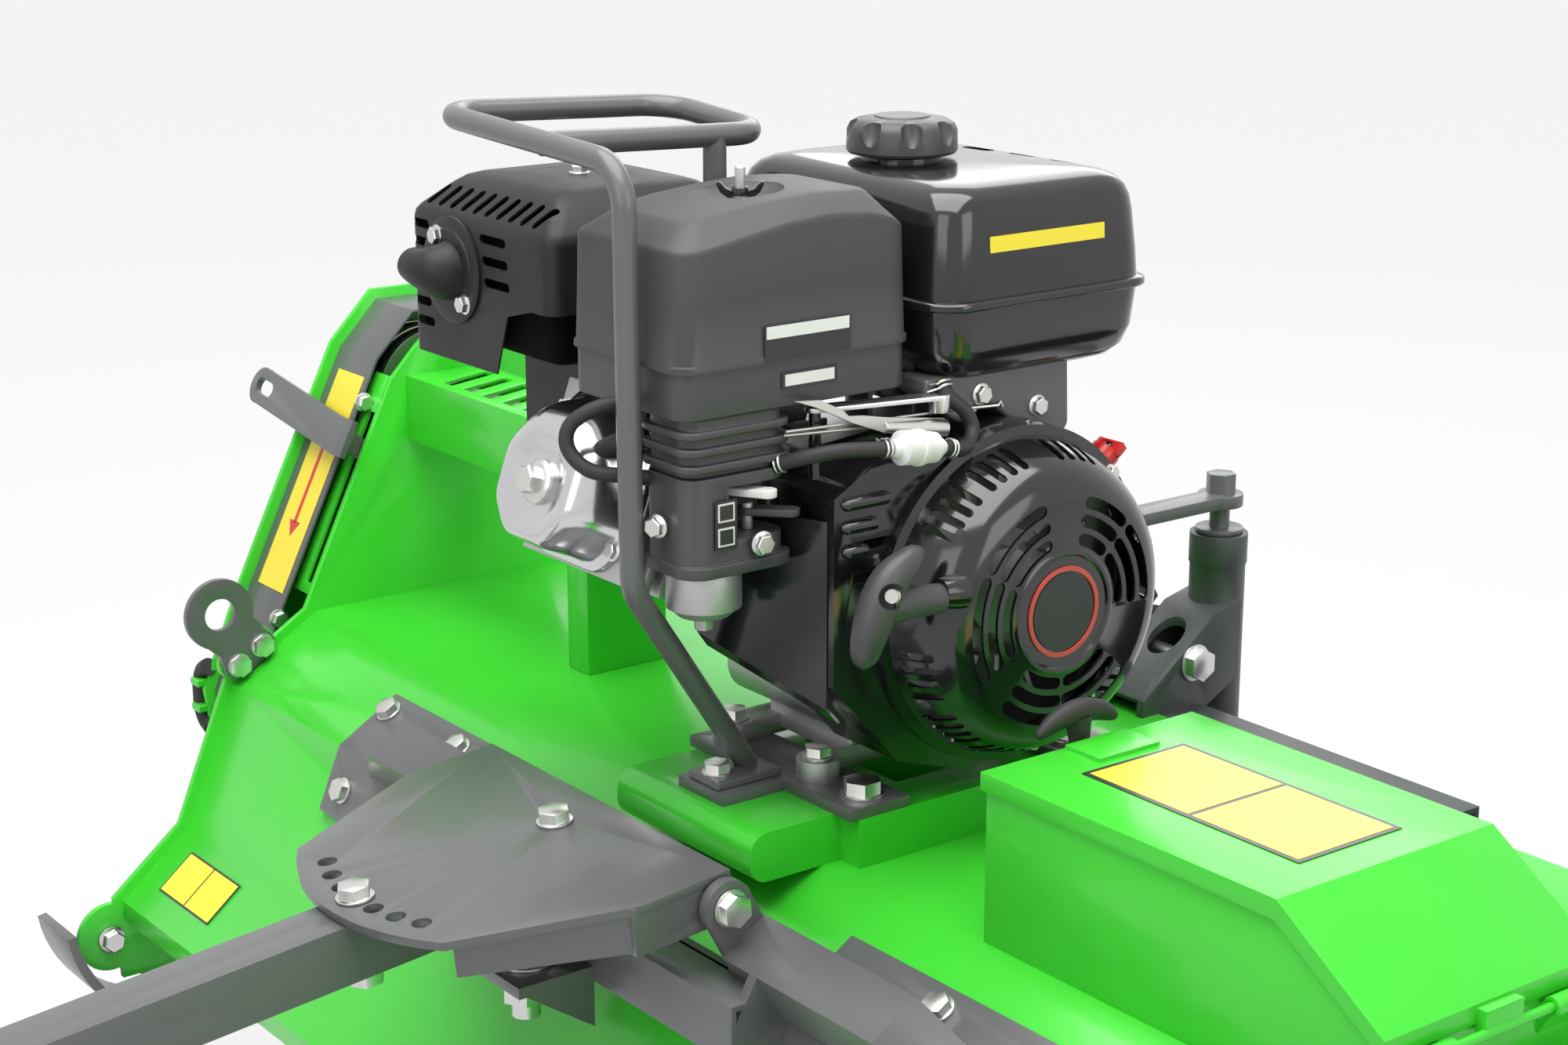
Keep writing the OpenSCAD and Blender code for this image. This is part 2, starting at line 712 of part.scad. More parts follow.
module shaft_tunnel() {
    slot_pitch = 32;
    wall = sheet_t;
    color(lime) {
        difference() {
            block([tunnel_x[0], tunnel_y[0], tunnel_z[0]], [tunnel_x[1], tunnel_y[1], tunnel_z[1]]);
            block([tunnel_x[0] + wall, tunnel_y[0] - 1, tunnel_z[0] + wall],
                [tunnel_x[1] - wall, tunnel_y[1] + 1, tunnel_z[1] - wall]);
            for (i = [0:7]) translate([0, tunnel_y[0] + 26 + i * slot_pitch, tunnel_z[1] - wall - 1])
                linear_extrude(wall + 2) polygon([[tunnel_x[0] + 12, 0], [tunnel_x[0] + 12, 15],
                    [tunnel_x[1] - 12, 33], [tunnel_x[1] - 12, 18]]);
        }
        difference() {
            block([tunnel_x[0] + 5, tunnel_y[1] - 43, deck_top], [tunnel_x[1] + 5, tunnel_y[1] - 13, tunnel_z[0]]);
            block([tunnel_x[0] + 5 + wall, tunnel_y[1] - 43 + wall, deck_top - 1],
                [tunnel_x[1] + 5 - wall, tunnel_y[1] - 13 - wall, tunnel_z[0] - wall]);
        }
    }
}

lift_eye = bend2 + [11, 66];
lift_hole_r = 14;
lift_arm_w = 2 * lift_stand - 2;

module lift_brackets() {
    color(graphite) both_sides() difference() {
        across(half_w - lift_t, half_w) difference() {
            union() {
                link(lift_at[0], lift_at[1], lift_arm_w);
                link(lift_at[0], lift_eye, lift_arm_w);
                link(lift_at[1], lift_eye, lift_arm_w);
                polygon([lift_at[0] + [-8, 8], lift_at[0], lift_at[1], lift_at[1] + [10, 4], lift_eye + [28, -14],
                    lift_eye + [-30, -6]]);
                translate(lift_eye) circle(lift_hole_r + 17);
            }
            translate(lift_eye) circle(lift_hole_r);
        }
        bolt_holes(lift_bolts);
    }
}

lever_t = 6;
lever_w = 34;
lever_in = side_out + lever_slot[0] + 2;
lever_angle = atan2(housing_line[0][0] - housing_line[1][0], housing_line[1][1] - housing_line[0][1]);
lever_out = [cos(lever_angle), sin(lever_angle)];
lever_stand = guard_proud + 1;
lever_reach = 175;
lever_rise = 17;
lever_root_y = -half_w + 6;
handle_at = on_line(housing_line[0], housing_line[1], 0.68) + lever_stand * lever_out;
idler_at = let (quad = tangent_quad(drive_axis, belt_in_drive, rotor_axis, belt_in_rotor),
    share = idler_drop / (crank_z - rotor_z), p = on_line(quad[3], quad[2], share),
    n = left_of(quad[2] - quad[3])) p + n * (idler_r + seat_gap);
idler_w = pulley_w - 6;

module tension_lever() {
    color(graphite) {
        difference() {
            across(-lever_in - lever_t, -lever_in) {
                link(tension_pivot, handle_at - 6 * lever_out, 18);
                link(tension_pivot, idler_at, 22);
                translate(tension_pivot) circle(tension_pin_r + 8);
                translate(handle_at) rotate(lever_angle) translate([-8, -9]) square([8 + lever_t, 18]);
            }
            rod_y(tension_pivot, tension_pin_r + run_gap, -housing_in, -side_out);
        }
        rod_y(idler_at, idler_pin_r, belt_y - idler_w / 2 - 4, -lever_in - lever_t);
        translate([handle_at[0], lever_root_y, handle_at[1]]) rotate([0, -lever_angle, 0])
            forward(0, lever_t) difference() {
                union() {
                    link([-lever_w / 2, 0], [-lever_reach, lever_rise], lever_w);
                    translate([-lever_w / 2, -lever_w / 2]) square([lever_w / 2, lever_w]);
                }
                link([-lever_reach, lever_rise] * 0.9, [-lever_reach, lever_rise], 14);
            }
    }
}

module grooved_pulley(r) {
    rotate_extrude() difference() {
        square([r, pulley_w]);
        for (k = [-1, 1]) translate([r - belt_t - 2, pulley_w / 2 + k * (belt_w + belt_gap) / 2 - belt_w / 2 - seat_gap])
            square([belt_t + 3, belt_w + 2 * seat_gap]);
    }
}

module idler_pulley() {
    color(alloy) translate([idler_at[0], belt_y - idler_w / 2, idler_at[1]]) rotate([-90, 0, 0])
        ring(idler_r, idler_pin_r + run_gap, idler_w);
}

module belt_loop(r_drive, r_rotor) {
    translate(drive_axis) circle(r_drive);
    translate(rotor_axis) circle(r_rotor);
    polygon(tangent_quad(drive_axis, r_drive, rotor_axis, r_rotor));
}

module drive_belts() {
    color(rubber) for (k = [-1, 1]) let (y = belt_y + k * (belt_w + belt_gap) / 2)
        across(y - belt_w / 2, y + belt_w / 2) difference() {
            belt_loop(belt_in_drive + belt_t, belt_in_rotor + belt_t);
            belt_loop(belt_in_drive, belt_in_rotor);
        }
}

shaft_end = engine_y + 70;
clutch_y = [-190, -122];

module drive_shaft() {
    color(alloy) {
        rod_y(drive_axis, shaft_r, belt_y - pulley_w / 2, clutch_y[1]);
        rod_y(drive_axis, crank_bore_r, clutch_y[1], shaft_end);
        rod_y(drive_axis, 52, clutch_y[0], clutch_y[1]);
        translate([0, belt_y - pulley_w / 2, crank_z]) rotate([-90, 0, 0]) grooved_pulley(drive_pulley_r);
    }
}

// Rotor and flails
rotor_half = half_w - 20;
flail_w = 56;
flail_pitch = (2 * rotor_half - flail_w - 44) / (flail_count - 1);
flail_shank = 26;
lug_plate = 10;
function flail_y(i) = -rotor_half + flail_w / 2 + 22 + i * flail_pitch;

module rotor() {
    color(graphite) {
        difference() {
            rod_y(rotor_axis, rotor_tube_r, -rotor_half, rotor_half);
            rod_y(rotor_axis, rotor_tube_r - 8, -rotor_half + 12, rotor_half - 12);
            for (y = [-1, 1]) translate([rotor_x, y * (rotor_half - 30), rotor_z]) cylinder(r = 4, h = 2 * rotor_tube_r);
        }
        rod_y(rotor_axis, rotor_shaft_r, belt_y + pulley_w / 2, -rotor_half + 1);
        rod_y(rotor_axis, rotor_shaft_r, rotor_half - 1, side_out + strip_w + 8);
        for (i = [0:flail_count - 1], s = [-1, 1]) translate([rotor_x, flail_y(i), rotor_z]) {
            for (k = [-1, 1]) translate([0, k * (flail_shank / 2 + seat_gap + lug_plate / 2), 0])
                across(-lug_plate / 2, lug_plate / 2) link([s * (rotor_tube_r - 10), 0], [s * flail_pin_circle, 0], 28);
            rod_y([s * flail_pin_circle, 0], flail_pin_r, -flail_shank / 2 - 2, flail_shank / 2 + 2);
        }
    }
}

module flail() {
    difference() {
        union() {
            across(-flail_shank / 2, flail_shank / 2) link([0, 0], [0, -flail_len + 22], 25);
            across(-flail_w / 2, flail_w / 2) polygon([[-8, -flail_len + 30], [8, -flail_len + 30],
                [12, -flail_len + 8], [-6, -flail_len], [-12, -flail_len + 8]]);
        }
        rod_y([0, 0], flail_pin_r + run_gap, -flail_w, flail_w);
    }
}

module flail_row(s) {
    for (i = [0:flail_count - 1]) translate([rotor_x + s * flail_pin_circle, flail_y(i), rotor_z]) flail();
}

module flail_row_a() {
    color(alloy) flail_row(1);
}

module flail_row_b() {
    color(alloy) flail_row(-1);
}

module rotor_pulley() {
    color(graphite) translate([rotor_x, belt_y - pulley_w / 2, rotor_z]) rotate([-90, 0, 0]) grooved_pulley(rotor_pulley_r);
}

bearing_t = 20;

module bearing_unit(shaft) {
    difference() {
        union() {
            cylinder(r = shaft + 22, h = bearing_t);
            linear_extrude(8) rounded_square([-shaft - 30, -shaft - 30], [shaft + 30, shaft + 30], 12);
        }
        translate([0, 0, -1]) cylinder(r = shaft + run_gap, h = bearing_t + 2);
    }
}

module shaft_bearings() {
    color(alloy) {
        both_sides() translate([rotor_x, side_out, rotor_z]) rotate([-90, 0, 0]) bearing_unit(rotor_shaft_r);
        translate([0, -half_w + 8, crank_z]) mirror([0, 1, 0]) translate([0, side_t + 8, 0])
            rotate([-90, 0, 0]) ring(shaft_r + 12, shaft_r + run_gap, 14);
    }
}

// Front frame and hitch
frame_x = hinge_x + 6;
frame_wall = 4;
cross_z = hinge[1] - 68;
frame_tilt = atan2(shoulder_drop, shoulder_run);
frame_up = [shoulder_up[0], shoulder_up[2]];
frame_down = [frame_up[1], -frame_up[0]];
frame_at = bend2 + (mount_t + tube_s / 2) * frame_up - 8 * frame_down;
bevel_y = 306;
mount_line = [on_line(bend1, bend2, 0.38), bend2, on_line(bend2, bend3, 0.4)];

module tube_x_section(x, z) {
    difference() {
        translate([x - tube_s / 2, z - tube_s / 2]) square(tube_s);
        translate([x - tube_s / 2 + frame_wall, z - tube_s / 2 + frame_wall]) square(tube_s - 2 * frame_wall);
    }
}

// A tube along the shoulder from the hinge ear out to a bevelled end
module frame_arm() {
    s = tube_s / 2;
    i = s - frame_wall;
    translate([frame_at[0], 0, frame_at[1]]) rotate([0, frame_tilt, 0]) difference() {
        forward(-s, s) polygon([[ear_out, -s], [bevel_y + 2 * s, -s], [bevel_y, s], [ear_out, s]]);
        forward(-i, i) polygon([[ear_out - 1, -i], [bevel_y + 2 * i, -i], [bevel_y, i], [ear_out - 1, i]]);
    }
}

module frame_web() {
    s = tube_s / 2;
    across(mount_y[0], mount_y[0] + 8) difference() {
        polygon([frame_at + s * frame_down - s * frame_up, frame_at + s * frame_down + s * frame_up,
            [frame_x + s, cross_z], [frame_x + s, cross_z - s], mount_line[2], bend2]);
        polygon(concat(offset_line(deck_line, mount_t - 1), [[-deck_back, 0]]));
    }
}

module front_frame() {
    color(graphite) difference() {
        union() {
            both_sides() {
                frame_arm();
                across(mount_y[0], mount_y[1]) polygon(strip_of(mount_line, mount_t, 0));
                across(ear_in, ear_out) link(hinge, frame_at, 36);
                frame_web();
            }
            across(-mount_y[0] - 8, mount_y[0] + 8) tube_x_section(frame_x, cross_z);
            block([frame_x + tube_s / 2 - frame_wall, -34, level_seat], [level_x + 26, 34, level_seat + level_t]);
            for (y = [-34, 28]) across(y, y + 6) polygon([[frame_x + tube_s / 2 - 1, level_seat],
                [level_x + 20, level_seat], [frame_x + tube_s / 2 - 1, level_seat - 36]]);
        }
        rod_y(hinge, hitch_bolt_r + run_gap, -half_w, half_w);
        translate([level_x, 0, level_seat - 20]) cylinder(r = level_d / 2 + bolt_gap, h = 60);
        bolt_holes(frame_bolts);
    }
}

module plate_outline() {
    difference() {
        intersection() {
            translate([pivot_run, 0]) circle(plate_nose);
            polygon([[-10, -plate_w / 2], [60, -plate_w / 2], [pivot_run + plate_nose + 10, -78],
                [pivot_run + plate_nose + 10, 78], [60, plate_w / 2], [-10, plate_w / 2]]);
        }
        translate([pivot_run, 0]) circle(hitch_bolt_r + bolt_gap);
        for (k = [-3:3]) translate([pivot_run, 0]) rotate(k * lock_pitch) translate([lock_r, 0]) circle(hitch_bolt_r + 0.6);
    }
}

module swivel_plate() {
    flange_low = plate_rise - flange_drop;
    color(graphite) at_hitch() difference() {
        union() {
            translate([0, 0, plate_rise - plate_t]) linear_extrude(plate_t) plate_outline();
            both_sides() across(plate_w / 2 - plate_t - 0.5, plate_w / 2 - 0.5) {
                polygon([[-10, plate_rise - 1], [66, plate_rise - 1], [66, flange_low], [4, flange_low - 1], [-10, -8]]);
                circle(18);
            }
            both_sides() translate([58, plate_w / 2 - plate_t / 2 - 0.5, 0])
                rotate([0, 0, -atan2(plate_w / 2 - 82, 110)])
                    block([0, -plate_t / 2 + 0.5, flange_low + 1], [118, plate_t / 2 - 0.5, plate_rise - 2]);
        }
        rod_y([0, 0], hitch_bolt_r + bolt_gap, -half_w, half_w);
    }
}

module plate_bolts() {
    reach = ear_out - plate_w / 2 + plate_t + 4;
    color(zinc) at_hitch() {
        both_sides() translate([0, ear_out + 0.5, 0]) facing([0, 1, 0]) hex_bolt(2 * hitch_bolt_r, reach);
        translate([pivot_run, 0, plate_rise]) hex_bolt(2 * hitch_bolt_r, plate_t + 0.5 + tube_s + 10);
    }
}

module drawbar() {
    wall = 4;
    color(graphite) {
        at_hitch() difference() {
            block([10, -tube_s / 2, drawbar_top - tube_s], [tow_reach - 60, tube_s / 2, drawbar_top]);
            block([9, -tube_s / 2 + wall, drawbar_top - tube_s + wall],
                [tow_reach - 60 - wall, tube_s / 2 - wall, drawbar_top - wall]);
            translate([pivot_run, 0, drawbar_top - tube_s - 1]) cylinder(r = hitch_bolt_r + run_gap, h = tube_s + 2);
            translate([pivot_run + lock_r, 0, drawbar_top - tube_s - 1]) cylinder(r = hitch_bolt_r + bolt_gap, h = tube_s + 2);
        }
        translate([tow_end[0], 0, tow_end[1] - tow_t / 2]) difference() {
            linear_extrude(tow_t) {
                circle(tow_eye_r);
                translate([-110, -tube_s / 2 - 6]) square([110, tube_s + 12]);
            }
            translate([0, 0, -1]) cylinder(r = tow_hole_r, h = tow_t + 2);
        }
    }
}

module lock_bolt() {
    color(zinc) at_hitch() translate([pivot_run + lock_r, 0, plate_rise + 0.4]) {
        hex_bolt(2 * hitch_bolt_r, plate_t + 0.9 + tube_s + 14);
        translate([0, 0, drawbar_top - plate_rise - tube_s - 0.4 - 13]) cylinder(r = 2 * hitch_bolt_r, h = 13, $fn = 6);
    }
}

// Wheel frame, wheels and jack
module wheel_frame() {
    color(graphite) {
        both_sides() across(arm_in, arm_out) difference() {
            link(arm_pivot, axle, 56);
            translate(arm_pivot) circle(arm_pin_r + run_gap);
        }
        across(-arm_in, arm_in) difference() {
            translate([-jack_back - beam_s / 2, beam_mid_z - beam_s / 2]) square(beam_s);
            translate([-jack_back - beam_s / 2 + 5, beam_mid_z - beam_s / 2 + 5]) square(beam_s - 10);
        }
        rod_y(axle, axle_r, -arm_in, arm_in);
    }
}

hub_r = axle_r + 12;

module rim() {
    bead = tyre_w / 2 - 22;
    rotate([90, 0, 0]) rotate_extrude()
        polygon([[hub_r, -bead - 10], [hub_r, -6], [rim_r - 14, -6], [rim_r - 6, -bead], [rim_r, -bead - 4],
            [rim_r, bead + 4], [rim_r - 6, bead], [rim_r - 14, 6], [hub_r, 6], [hub_r, bead + 10],
            [axle_r + run_gap, bead + 10], [axle_r + run_gap, -bead - 10]]);
}

module tyre() {
    shoulder = 24;
    rotate([90, 0, 0]) rotate_extrude() difference() {
        union() {
            translate([rim_r, -tyre_w / 2 + shoulder]) square([tyre_r - rim_r, tyre_w - 2 * shoulder]);
            translate([rim_r, -tyre_w / 2]) square([tyre_r - rim_r - shoulder, tyre_w]);
            for (k = [-1, 1]) translate([tyre_r - shoulder, k * (tyre_w / 2 - shoulder)]) circle(shoulder);
        }
        for (k = [-1, 0, 1]) translate([tyre_r - 6, k * 22 - 3]) square([10, 6]);
    }
}

module at_wheel(s) {
    translate([axle[0], s * wheel_y, axle[1]]) children();
}

module left_rim() {
    color(graphite) at_wheel(1) rim();
}

module left_tyre() {
    color(rubber) at_wheel(1) tyre();
}

module right_rim() {
    color(graphite) at_wheel(-1) rim();
}

module right_tyre() {
    color(rubber) at_wheel(-1) tyre();
}

module jack_post() {
    saddle = [[-deck_back + 18, deck_top], [-deck_back + 16, deck_top + 13], [-jack_back + 30, crank_z - 100],
        [-jack_back, crank_z - 93], [-jack_back, deck_top + 14], [-deck_back - beam_s - 2, rear_beam_z - 2],
        [-deck_back, rear_beam_z - 2], [-deck_back, deck_top]];
    color(graphite) difference() {
        union() {
            across(-300, 300) difference() {
                translate([-deck_back - beam_s, rear_beam_z - beam_s]) square(beam_s);
                translate([-deck_back - beam_s + 5, rear_beam_z - beam_s + 5]) square(beam_s - 10);
            }
            both_sides() across(saddle_in, saddle_out) polygon(saddle);
            difference() {
                across(-saddle_out, saddle_out) polygon(strip_of([saddle[1], saddle[2], saddle[3]], 0, 6));
                translate([-jack_back + 54, 0, deck_top]) cylinder(r = 15, h = 100);
            }
            translate([-jack_back, 0, jack_low]) cylinder(r = jack_r, h = jack_top - jack_low);
            translate([-jack_back, 0, jack_top - 24]) cylinder(r = jack_r + 1, h = 24);
        }
        translate([-jack_back, 0, jack_low - 1]) cylinder(r = jack_leg_r + run_gap, h = jack_top - jack_low - 7);
        translate([-jack_back, 0, jack_top - 20]) cylinder(r = jack_screw_r + run_gap, h = 30);
        bolt_holes(saddle_bolts);
    }
}

crank_bar_z = jack_top + 22;
crank_bar_t = 10;

module jack_crank() {
    color(graphite) translate([-jack_back, 0, 0]) {
        translate([0, 0, jack_low + 10]) cylinder(r = jack_screw_r, h = jack_top - jack_low - 10);
        translate([0, 0, jack_top + seat_gap]) cylinder(r = jack_leg_r + 2, h = 4);
        translate([0, 0, jack_top]) cylinder(r = jack_screw_r, h = crank_bar_z - jack_top);
        translate([0, 0, crank_bar_z]) linear_extrude(crank_bar_t) {
            circle(18);
            translate([0, -12]) square([jack_handle, 24]);
            translate([jack_handle, 0]) circle(12);
        }
        translate([jack_handle, 0, crank_bar_z]) cylinder(r = 9, h = 60);
        translate([0, 0, crank_bar_z + crank_bar_t]) cylinder(r = 12, h = 16, $fn = 6);
    }
}

module jack_leg() {
    leg_top = jack_top - 34;
    color(alloy) translate([-jack_back, 0, 0]) difference() {
        union() {
            translate([0, 0, ball_z + 6]) cylinder(r = jack_leg_r, h = leg_top - ball_z - 6);
            translate([0, 0, ball_z]) sphere(r = ball_r);
        }
        translate([0, 0, jack_low - 2]) cylinder(r = jack_screw_r + 0.6, h = leg_top);
    }
}

// Engine castings
module finned_block(u0, u1, w, h, count) {
    step = (u1 - u0) / count;
    block([u0, -w / 2 + 10, -h / 2 + 10], [u1, w / 2 - 10, h / 2 - 10]);
    for (i = [0:count - 1]) block([u0 + i * step, -w / 2, -h / 2], [u0 + i * step + 0.45 * step, w / 2, h / 2]);
}

module crankcase() {
    color(alloy) difference() {
        union() {
            at_engine() {
                across(case_y[0], case_y[1]) rounded_square([-100, -crank_h + foot_h + 4], [92, case_top], 24);
                rod_y([0, 0], 60, case_y[0] - 38, case_y[0] + 1);
                for (x = feet_x, y = feet_y) translate([x, y, -crank_h]) cylinder(r = 15, h = foot_h);
                for (y = feet_y) block([feet_x[1], y - 12, -crank_h], [feet_x[0], min(y + 12, case_y[1] - 1), -crank_h + foot_h]);
                block([-80, feet_y[1], -crank_h + 4], [80, feet_y[0] - 4, -crank_h + foot_h + 8]);
            }
            on_cylinder() finned_block(70, 190, 112, 112, 8);
        }
        at_engine() rod_y([0, 0], crank_bore_r + run_gap, case_y[0] - 60, case_y[1] + 10);
        for (y = feet_y) at_engine() translate([feet_x[1], y, -crank_h + foot_h]) cylinder(r = 13, h = 14);
        bolt_holes(foot_bolts);
    }
}

module cylinder_head() {
    color(alloy) on_cylinder() {
        finned_block(190, 246, 128, 124, 4);
        block([246, -62, -60], [252, 62, 60]);
    }
}

module octagon(w, h, cut) {
    polygon([[-w / 2 + cut, -h / 2], [w / 2 - cut, -h / 2], [w / 2, -h / 2 + cut], [w / 2, h / 2 - cut],
        [w / 2 - cut, h / 2], [-w / 2 + cut, h / 2], [-w / 2, h / 2 - cut], [-w / 2, -h / 2 + cut]]);
}

module valve_cover() {
    color(zinc) on_cylinder() {
        forward(252, 257) octagon(122, 116, 26);
        hull() {
            forward(257, 270) octagon(112, 106, 28);
            forward(296, 300) translate([0, -10]) octagon(82, 76, 22);
        }
        rod_x(0, -10, 16, 299, 302);
        rod_x(0, -10, 6, 302, 312);
    }
}

module rounded_box(low, high, r) {
    hull() for (x = [low[0] + r, high[0] - r], y = [low[1] + r, high[1] - r], z = [low[2] + r, high[2] - r])
        translate([x, y, z]) sphere(r, $fn = 16);
}

shield_t = 3;
shield_gap = 6;

module muffler() {
    color(gloss_black) at_engine() difference() {
        union() {
        rounded_box([muffler_x[0] + 10, muffler_y[0] + shield_gap + shield_t, muffler_z[0] + 12],
            [muffler_x[1] - shield_t - shield_gap, muffler_y[1] - shield_gap - shield_t, muffler_z[1] - shield_gap - shield_t], 16);
        rod_y([120, muffler_z[0] + 40], 15, muffler_y[1] - 20, head_y - 48);
        }
        block([muffler_x[0] + 16, muffler_y[0] + 16, muffler_z[0] + 18], [muffler_x[1] - 16, muffler_y[1] - 16, muffler_z[1] - 16]);
        rod_x(outlet_y, (muffler_z[0] + muffler_z[1]) / 2, 14, muffler_x[1] - 20, muffler_x[1]);
    }
}

module muffler_shield() {
    slot_rows = 4;
    color(gloss_black) at_engine() difference() {
        across(muffler_y[0], muffler_y[1]) rounded_square([muffler_x[0], muffler_z[0]], [muffler_x[1], muffler_z[1]], 12);
        across(muffler_y[0] + shield_t, muffler_y[1] - shield_t) polygon([[muffler_x[0] - 1, muffler_z[0] - 1],
            [muffler_x[1] - shield_t, muffler_z[0] - 1], [muffler_x[1] - shield_t, muffler_z[1] - 12],
            [muffler_x[1] - 12, muffler_z[1] - shield_t], [muffler_x[0] - 1, muffler_z[1] - shield_t]]);
        for (i = [0:slot_rows - 1], y = [muffler_y[0] + 18, muffler_y[1] - 58]) translate([0, y, muffler_z[0] + 28 + i * 22])
            block([muffler_x[1] - 10, 0, 0], [muffler_x[1] + 5, 40, 7]);
        for (i = [0:9]) translate([muffler_x[1] - 34, muffler_y[0] + 22 + i * 15, muffler_z[1] - 10])
            block([0, 0, 0], [24, 6, 20]);
        rod_x(outlet_y, (muffler_z[0] + muffler_z[1]) / 2, 20, muffler_x[1] - 10, muffler_x[1] + 5);
        rod_y([120, muffler_z[0] + 40], 16, muffler_y[1] - 10, muffler_y[1] + 5);
        forward(150, muffler_x[1] + 5) polygon([[-164, muffler_z[0] - 1], [-143, 178], [-112, 186], [-80, 186],
            [-80, muffler_z[0] - 1]]);
    }
}

module exhaust_deflector() {
    at = [muffler_x[1], outlet_y, (muffler_z[0] + muffler_z[1]) / 2];
    color(gloss_black) at_engine() translate(at) {
        rod_x(0, 0, 34, 0, 4);
        hull() {
            translate([4, 0, 0]) rotate([0, 90, 0]) cylinder(r = 19, h = 10, $fn = 24);
            translate([21, -9, 1]) sphere(16, $fn = 24);
        }
        hull() {
            translate([21, -9, 1]) sphere(16, $fn = 24);
            translate([25, -38, 4]) sphere(12, $fn = 24);
        }
    }
}

module air_filter_cover() {
    r = 16;
    color(plastic) at_engine() {
        hull() {
            translate([0, 0, filter_z[0]]) linear_extrude(1) rounded_square([filter_x[0], filter_y[0]], [filter_x[1], filter_y[1]], r);
            translate([0, 0, filter_z[1] - 4]) linear_extrude(1)
                rounded_square([filter_x[0] + 2, filter_y[0] + 2], [filter_x[1] - 2, filter_y[1] - 2], r);
            translate([0, 0, filter_z[2] - 1]) linear_extrude(1)
                rounded_square([filter_x[0] + 44, filter_y[0] + 24], [filter_x[1] - 44, filter_y[1] - 24], r);
        }
        translate([(filter_x[0] + filter_x[1]) / 2, (filter_y[0] + filter_y[1]) / 2, filter_z[2]]) {
            cylinder(r = 7, h = 8);
            translate([-16, -2.5, 2]) cube([32, 5, 10]);
        }
    }
}

module filter_base() {
    low = intake_z[1];
    tray = 33;
    color(plastic) at_engine() {
        translate([0, 0, filter_z[0] - tray]) linear_extrude(tray)
            rounded_square([filter_x[0] + 2, filter_y[0] + 2], [filter_x[1] - 2, filter_y[1] - 2], 14);
        translate([0, 0, low]) linear_extrude(filter_z[0] - tray - low)
            rounded_square([intake_x[0] + 6, intake_y[0] + 4], [intake_x[1] - 8, filter_y[1] - 4], 12);
        for (i = [0:2]) translate([0, 0, low + 4 + i * 11]) linear_extrude(5)
            rounded_square([intake_x[0] + 2, intake_y[0] + 1], [intake_x[1] - 4, filter_y[1]], 12);
    }
}

module intake_cover() {
    color(plastic) at_engine() difference() {
        union() {
            translate([0, 0, intake_z[0] + 8]) linear_extrude(intake_z[1] - intake_z[0] - 8)
                rounded_square([intake_x[0] + 6, intake_y[0] + 3], [intake_x[1] - 6, intake_y[1] - 1], 14);
            translate([0, 0, intake_z[0]]) linear_extrude(8)
                rounded_square([intake_x[0], intake_y[0]], [intake_x[1] - 4, intake_y[1] + 3], 18);
        }
        block([intake_x[0] - 1, choke_pivot[1] - 14, tap_z - 10], [choke_pivot[0] + 12, intake_y[1] + 4, choke_z + 9]);
    }
}

module carburetor() {
    bowl_z = intake_z[0] - 28;
    color(alloy) at_engine() {
        translate([bowl_at[0], bowl_at[1], bowl_z]) cylinder(r = bowl_r, h = intake_z[0] - bowl_z);
        translate([bowl_at[0], bowl_at[1], bowl_z - 6]) cylinder(r1 = bowl_r - 8, r2 = bowl_r - 2, h = 6);
        translate([bowl_at[0], bowl_at[1], bowl_z - 16]) cylinder(r = 7, h = 10, $fn = 6);
        translate([choke_pivot[0], choke_pivot[1], tap_z - 10]) cylinder(r = lever_pin_r, h = choke_z - tap_z + 17);
        translate([tap_pivot[0], tap_pivot[1], tap_z - 10]) cylinder(r = lever_pin_r, h = 18);
    }
}

module tank_level(z, inset, r) {
    translate([0, 0, z]) linear_extrude(1)
        rounded_square([tank_x[0] + inset, tank_y[0] + inset], [tank_x[1] - inset, tank_y[1] - inset], r, $fn = 32);
}

module fuel_tank() {
    seam_t = 5;
    neck_h = 23 - seat_gap;
    wall = 3;
    color(gloss_black) at_engine() difference() {
        union() {
        translate([0, 0, tank_z[1]]) linear_extrude(seam_t) rounded_square([tank_x[0], tank_y[0]], [tank_x[1], tank_y[1]], 28);
        hull() {
            tank_level(tank_z[1] + seam_t - 1, 9, 26);
            tank_level(tank_z[2] - 20, 18, 24);
            tank_level(tank_z[2] - 8, 28, 22);
            tank_level(tank_z[2] - 1, 70, 14);
        }
        hull() {
            tank_level(tank_z[1] - 1, 7, 26);
            tank_level(tank_z[0] + 24, 12, 26);
            tank_level(tank_z[0], 44, 20);
        }
        translate([cap_at[0], cap_at[1], tank_z[2] - 2]) cylinder(r = neck_r, h = neck_h);
        for (x = [-60, 0], y = [-50, 25]) translate([x, y, case_top]) cylinder(r = 10, h = tank_z[0] - case_top + 1);
        }
        hull() {
            tank_level(tank_z[2] - 20 - wall, 18 + wall, 22);
            tank_level(tank_z[2] - 1 - 2 * wall, 70, 14);
            tank_level(tank_z[0] + 24, 12 + wall, 24);
            tank_level(tank_z[0] + wall, 44 + wall, 18);
        }
        translate([cap_at[0], cap_at[1], tank_z[2] - 20]) cylinder(r = neck_r - 4, h = neck_h + 30);
    }
}

module fuel_cap() {
    grips = 12;
    color(rubber) at_engine() translate([cap_at[0], cap_at[1], tank_z[2] + 5]) difference() {
        cylinder(r = cap_r, h = cap_h);
        translate([0, 0, -1]) cylinder(r = neck_r + run_gap, h = 17);
        for (i = [0:grips - 1]) rotate(i * 360 / grips) translate([cap_r + 4, 0, 8]) cylinder(r = 7, h = cap_h);
    }
}

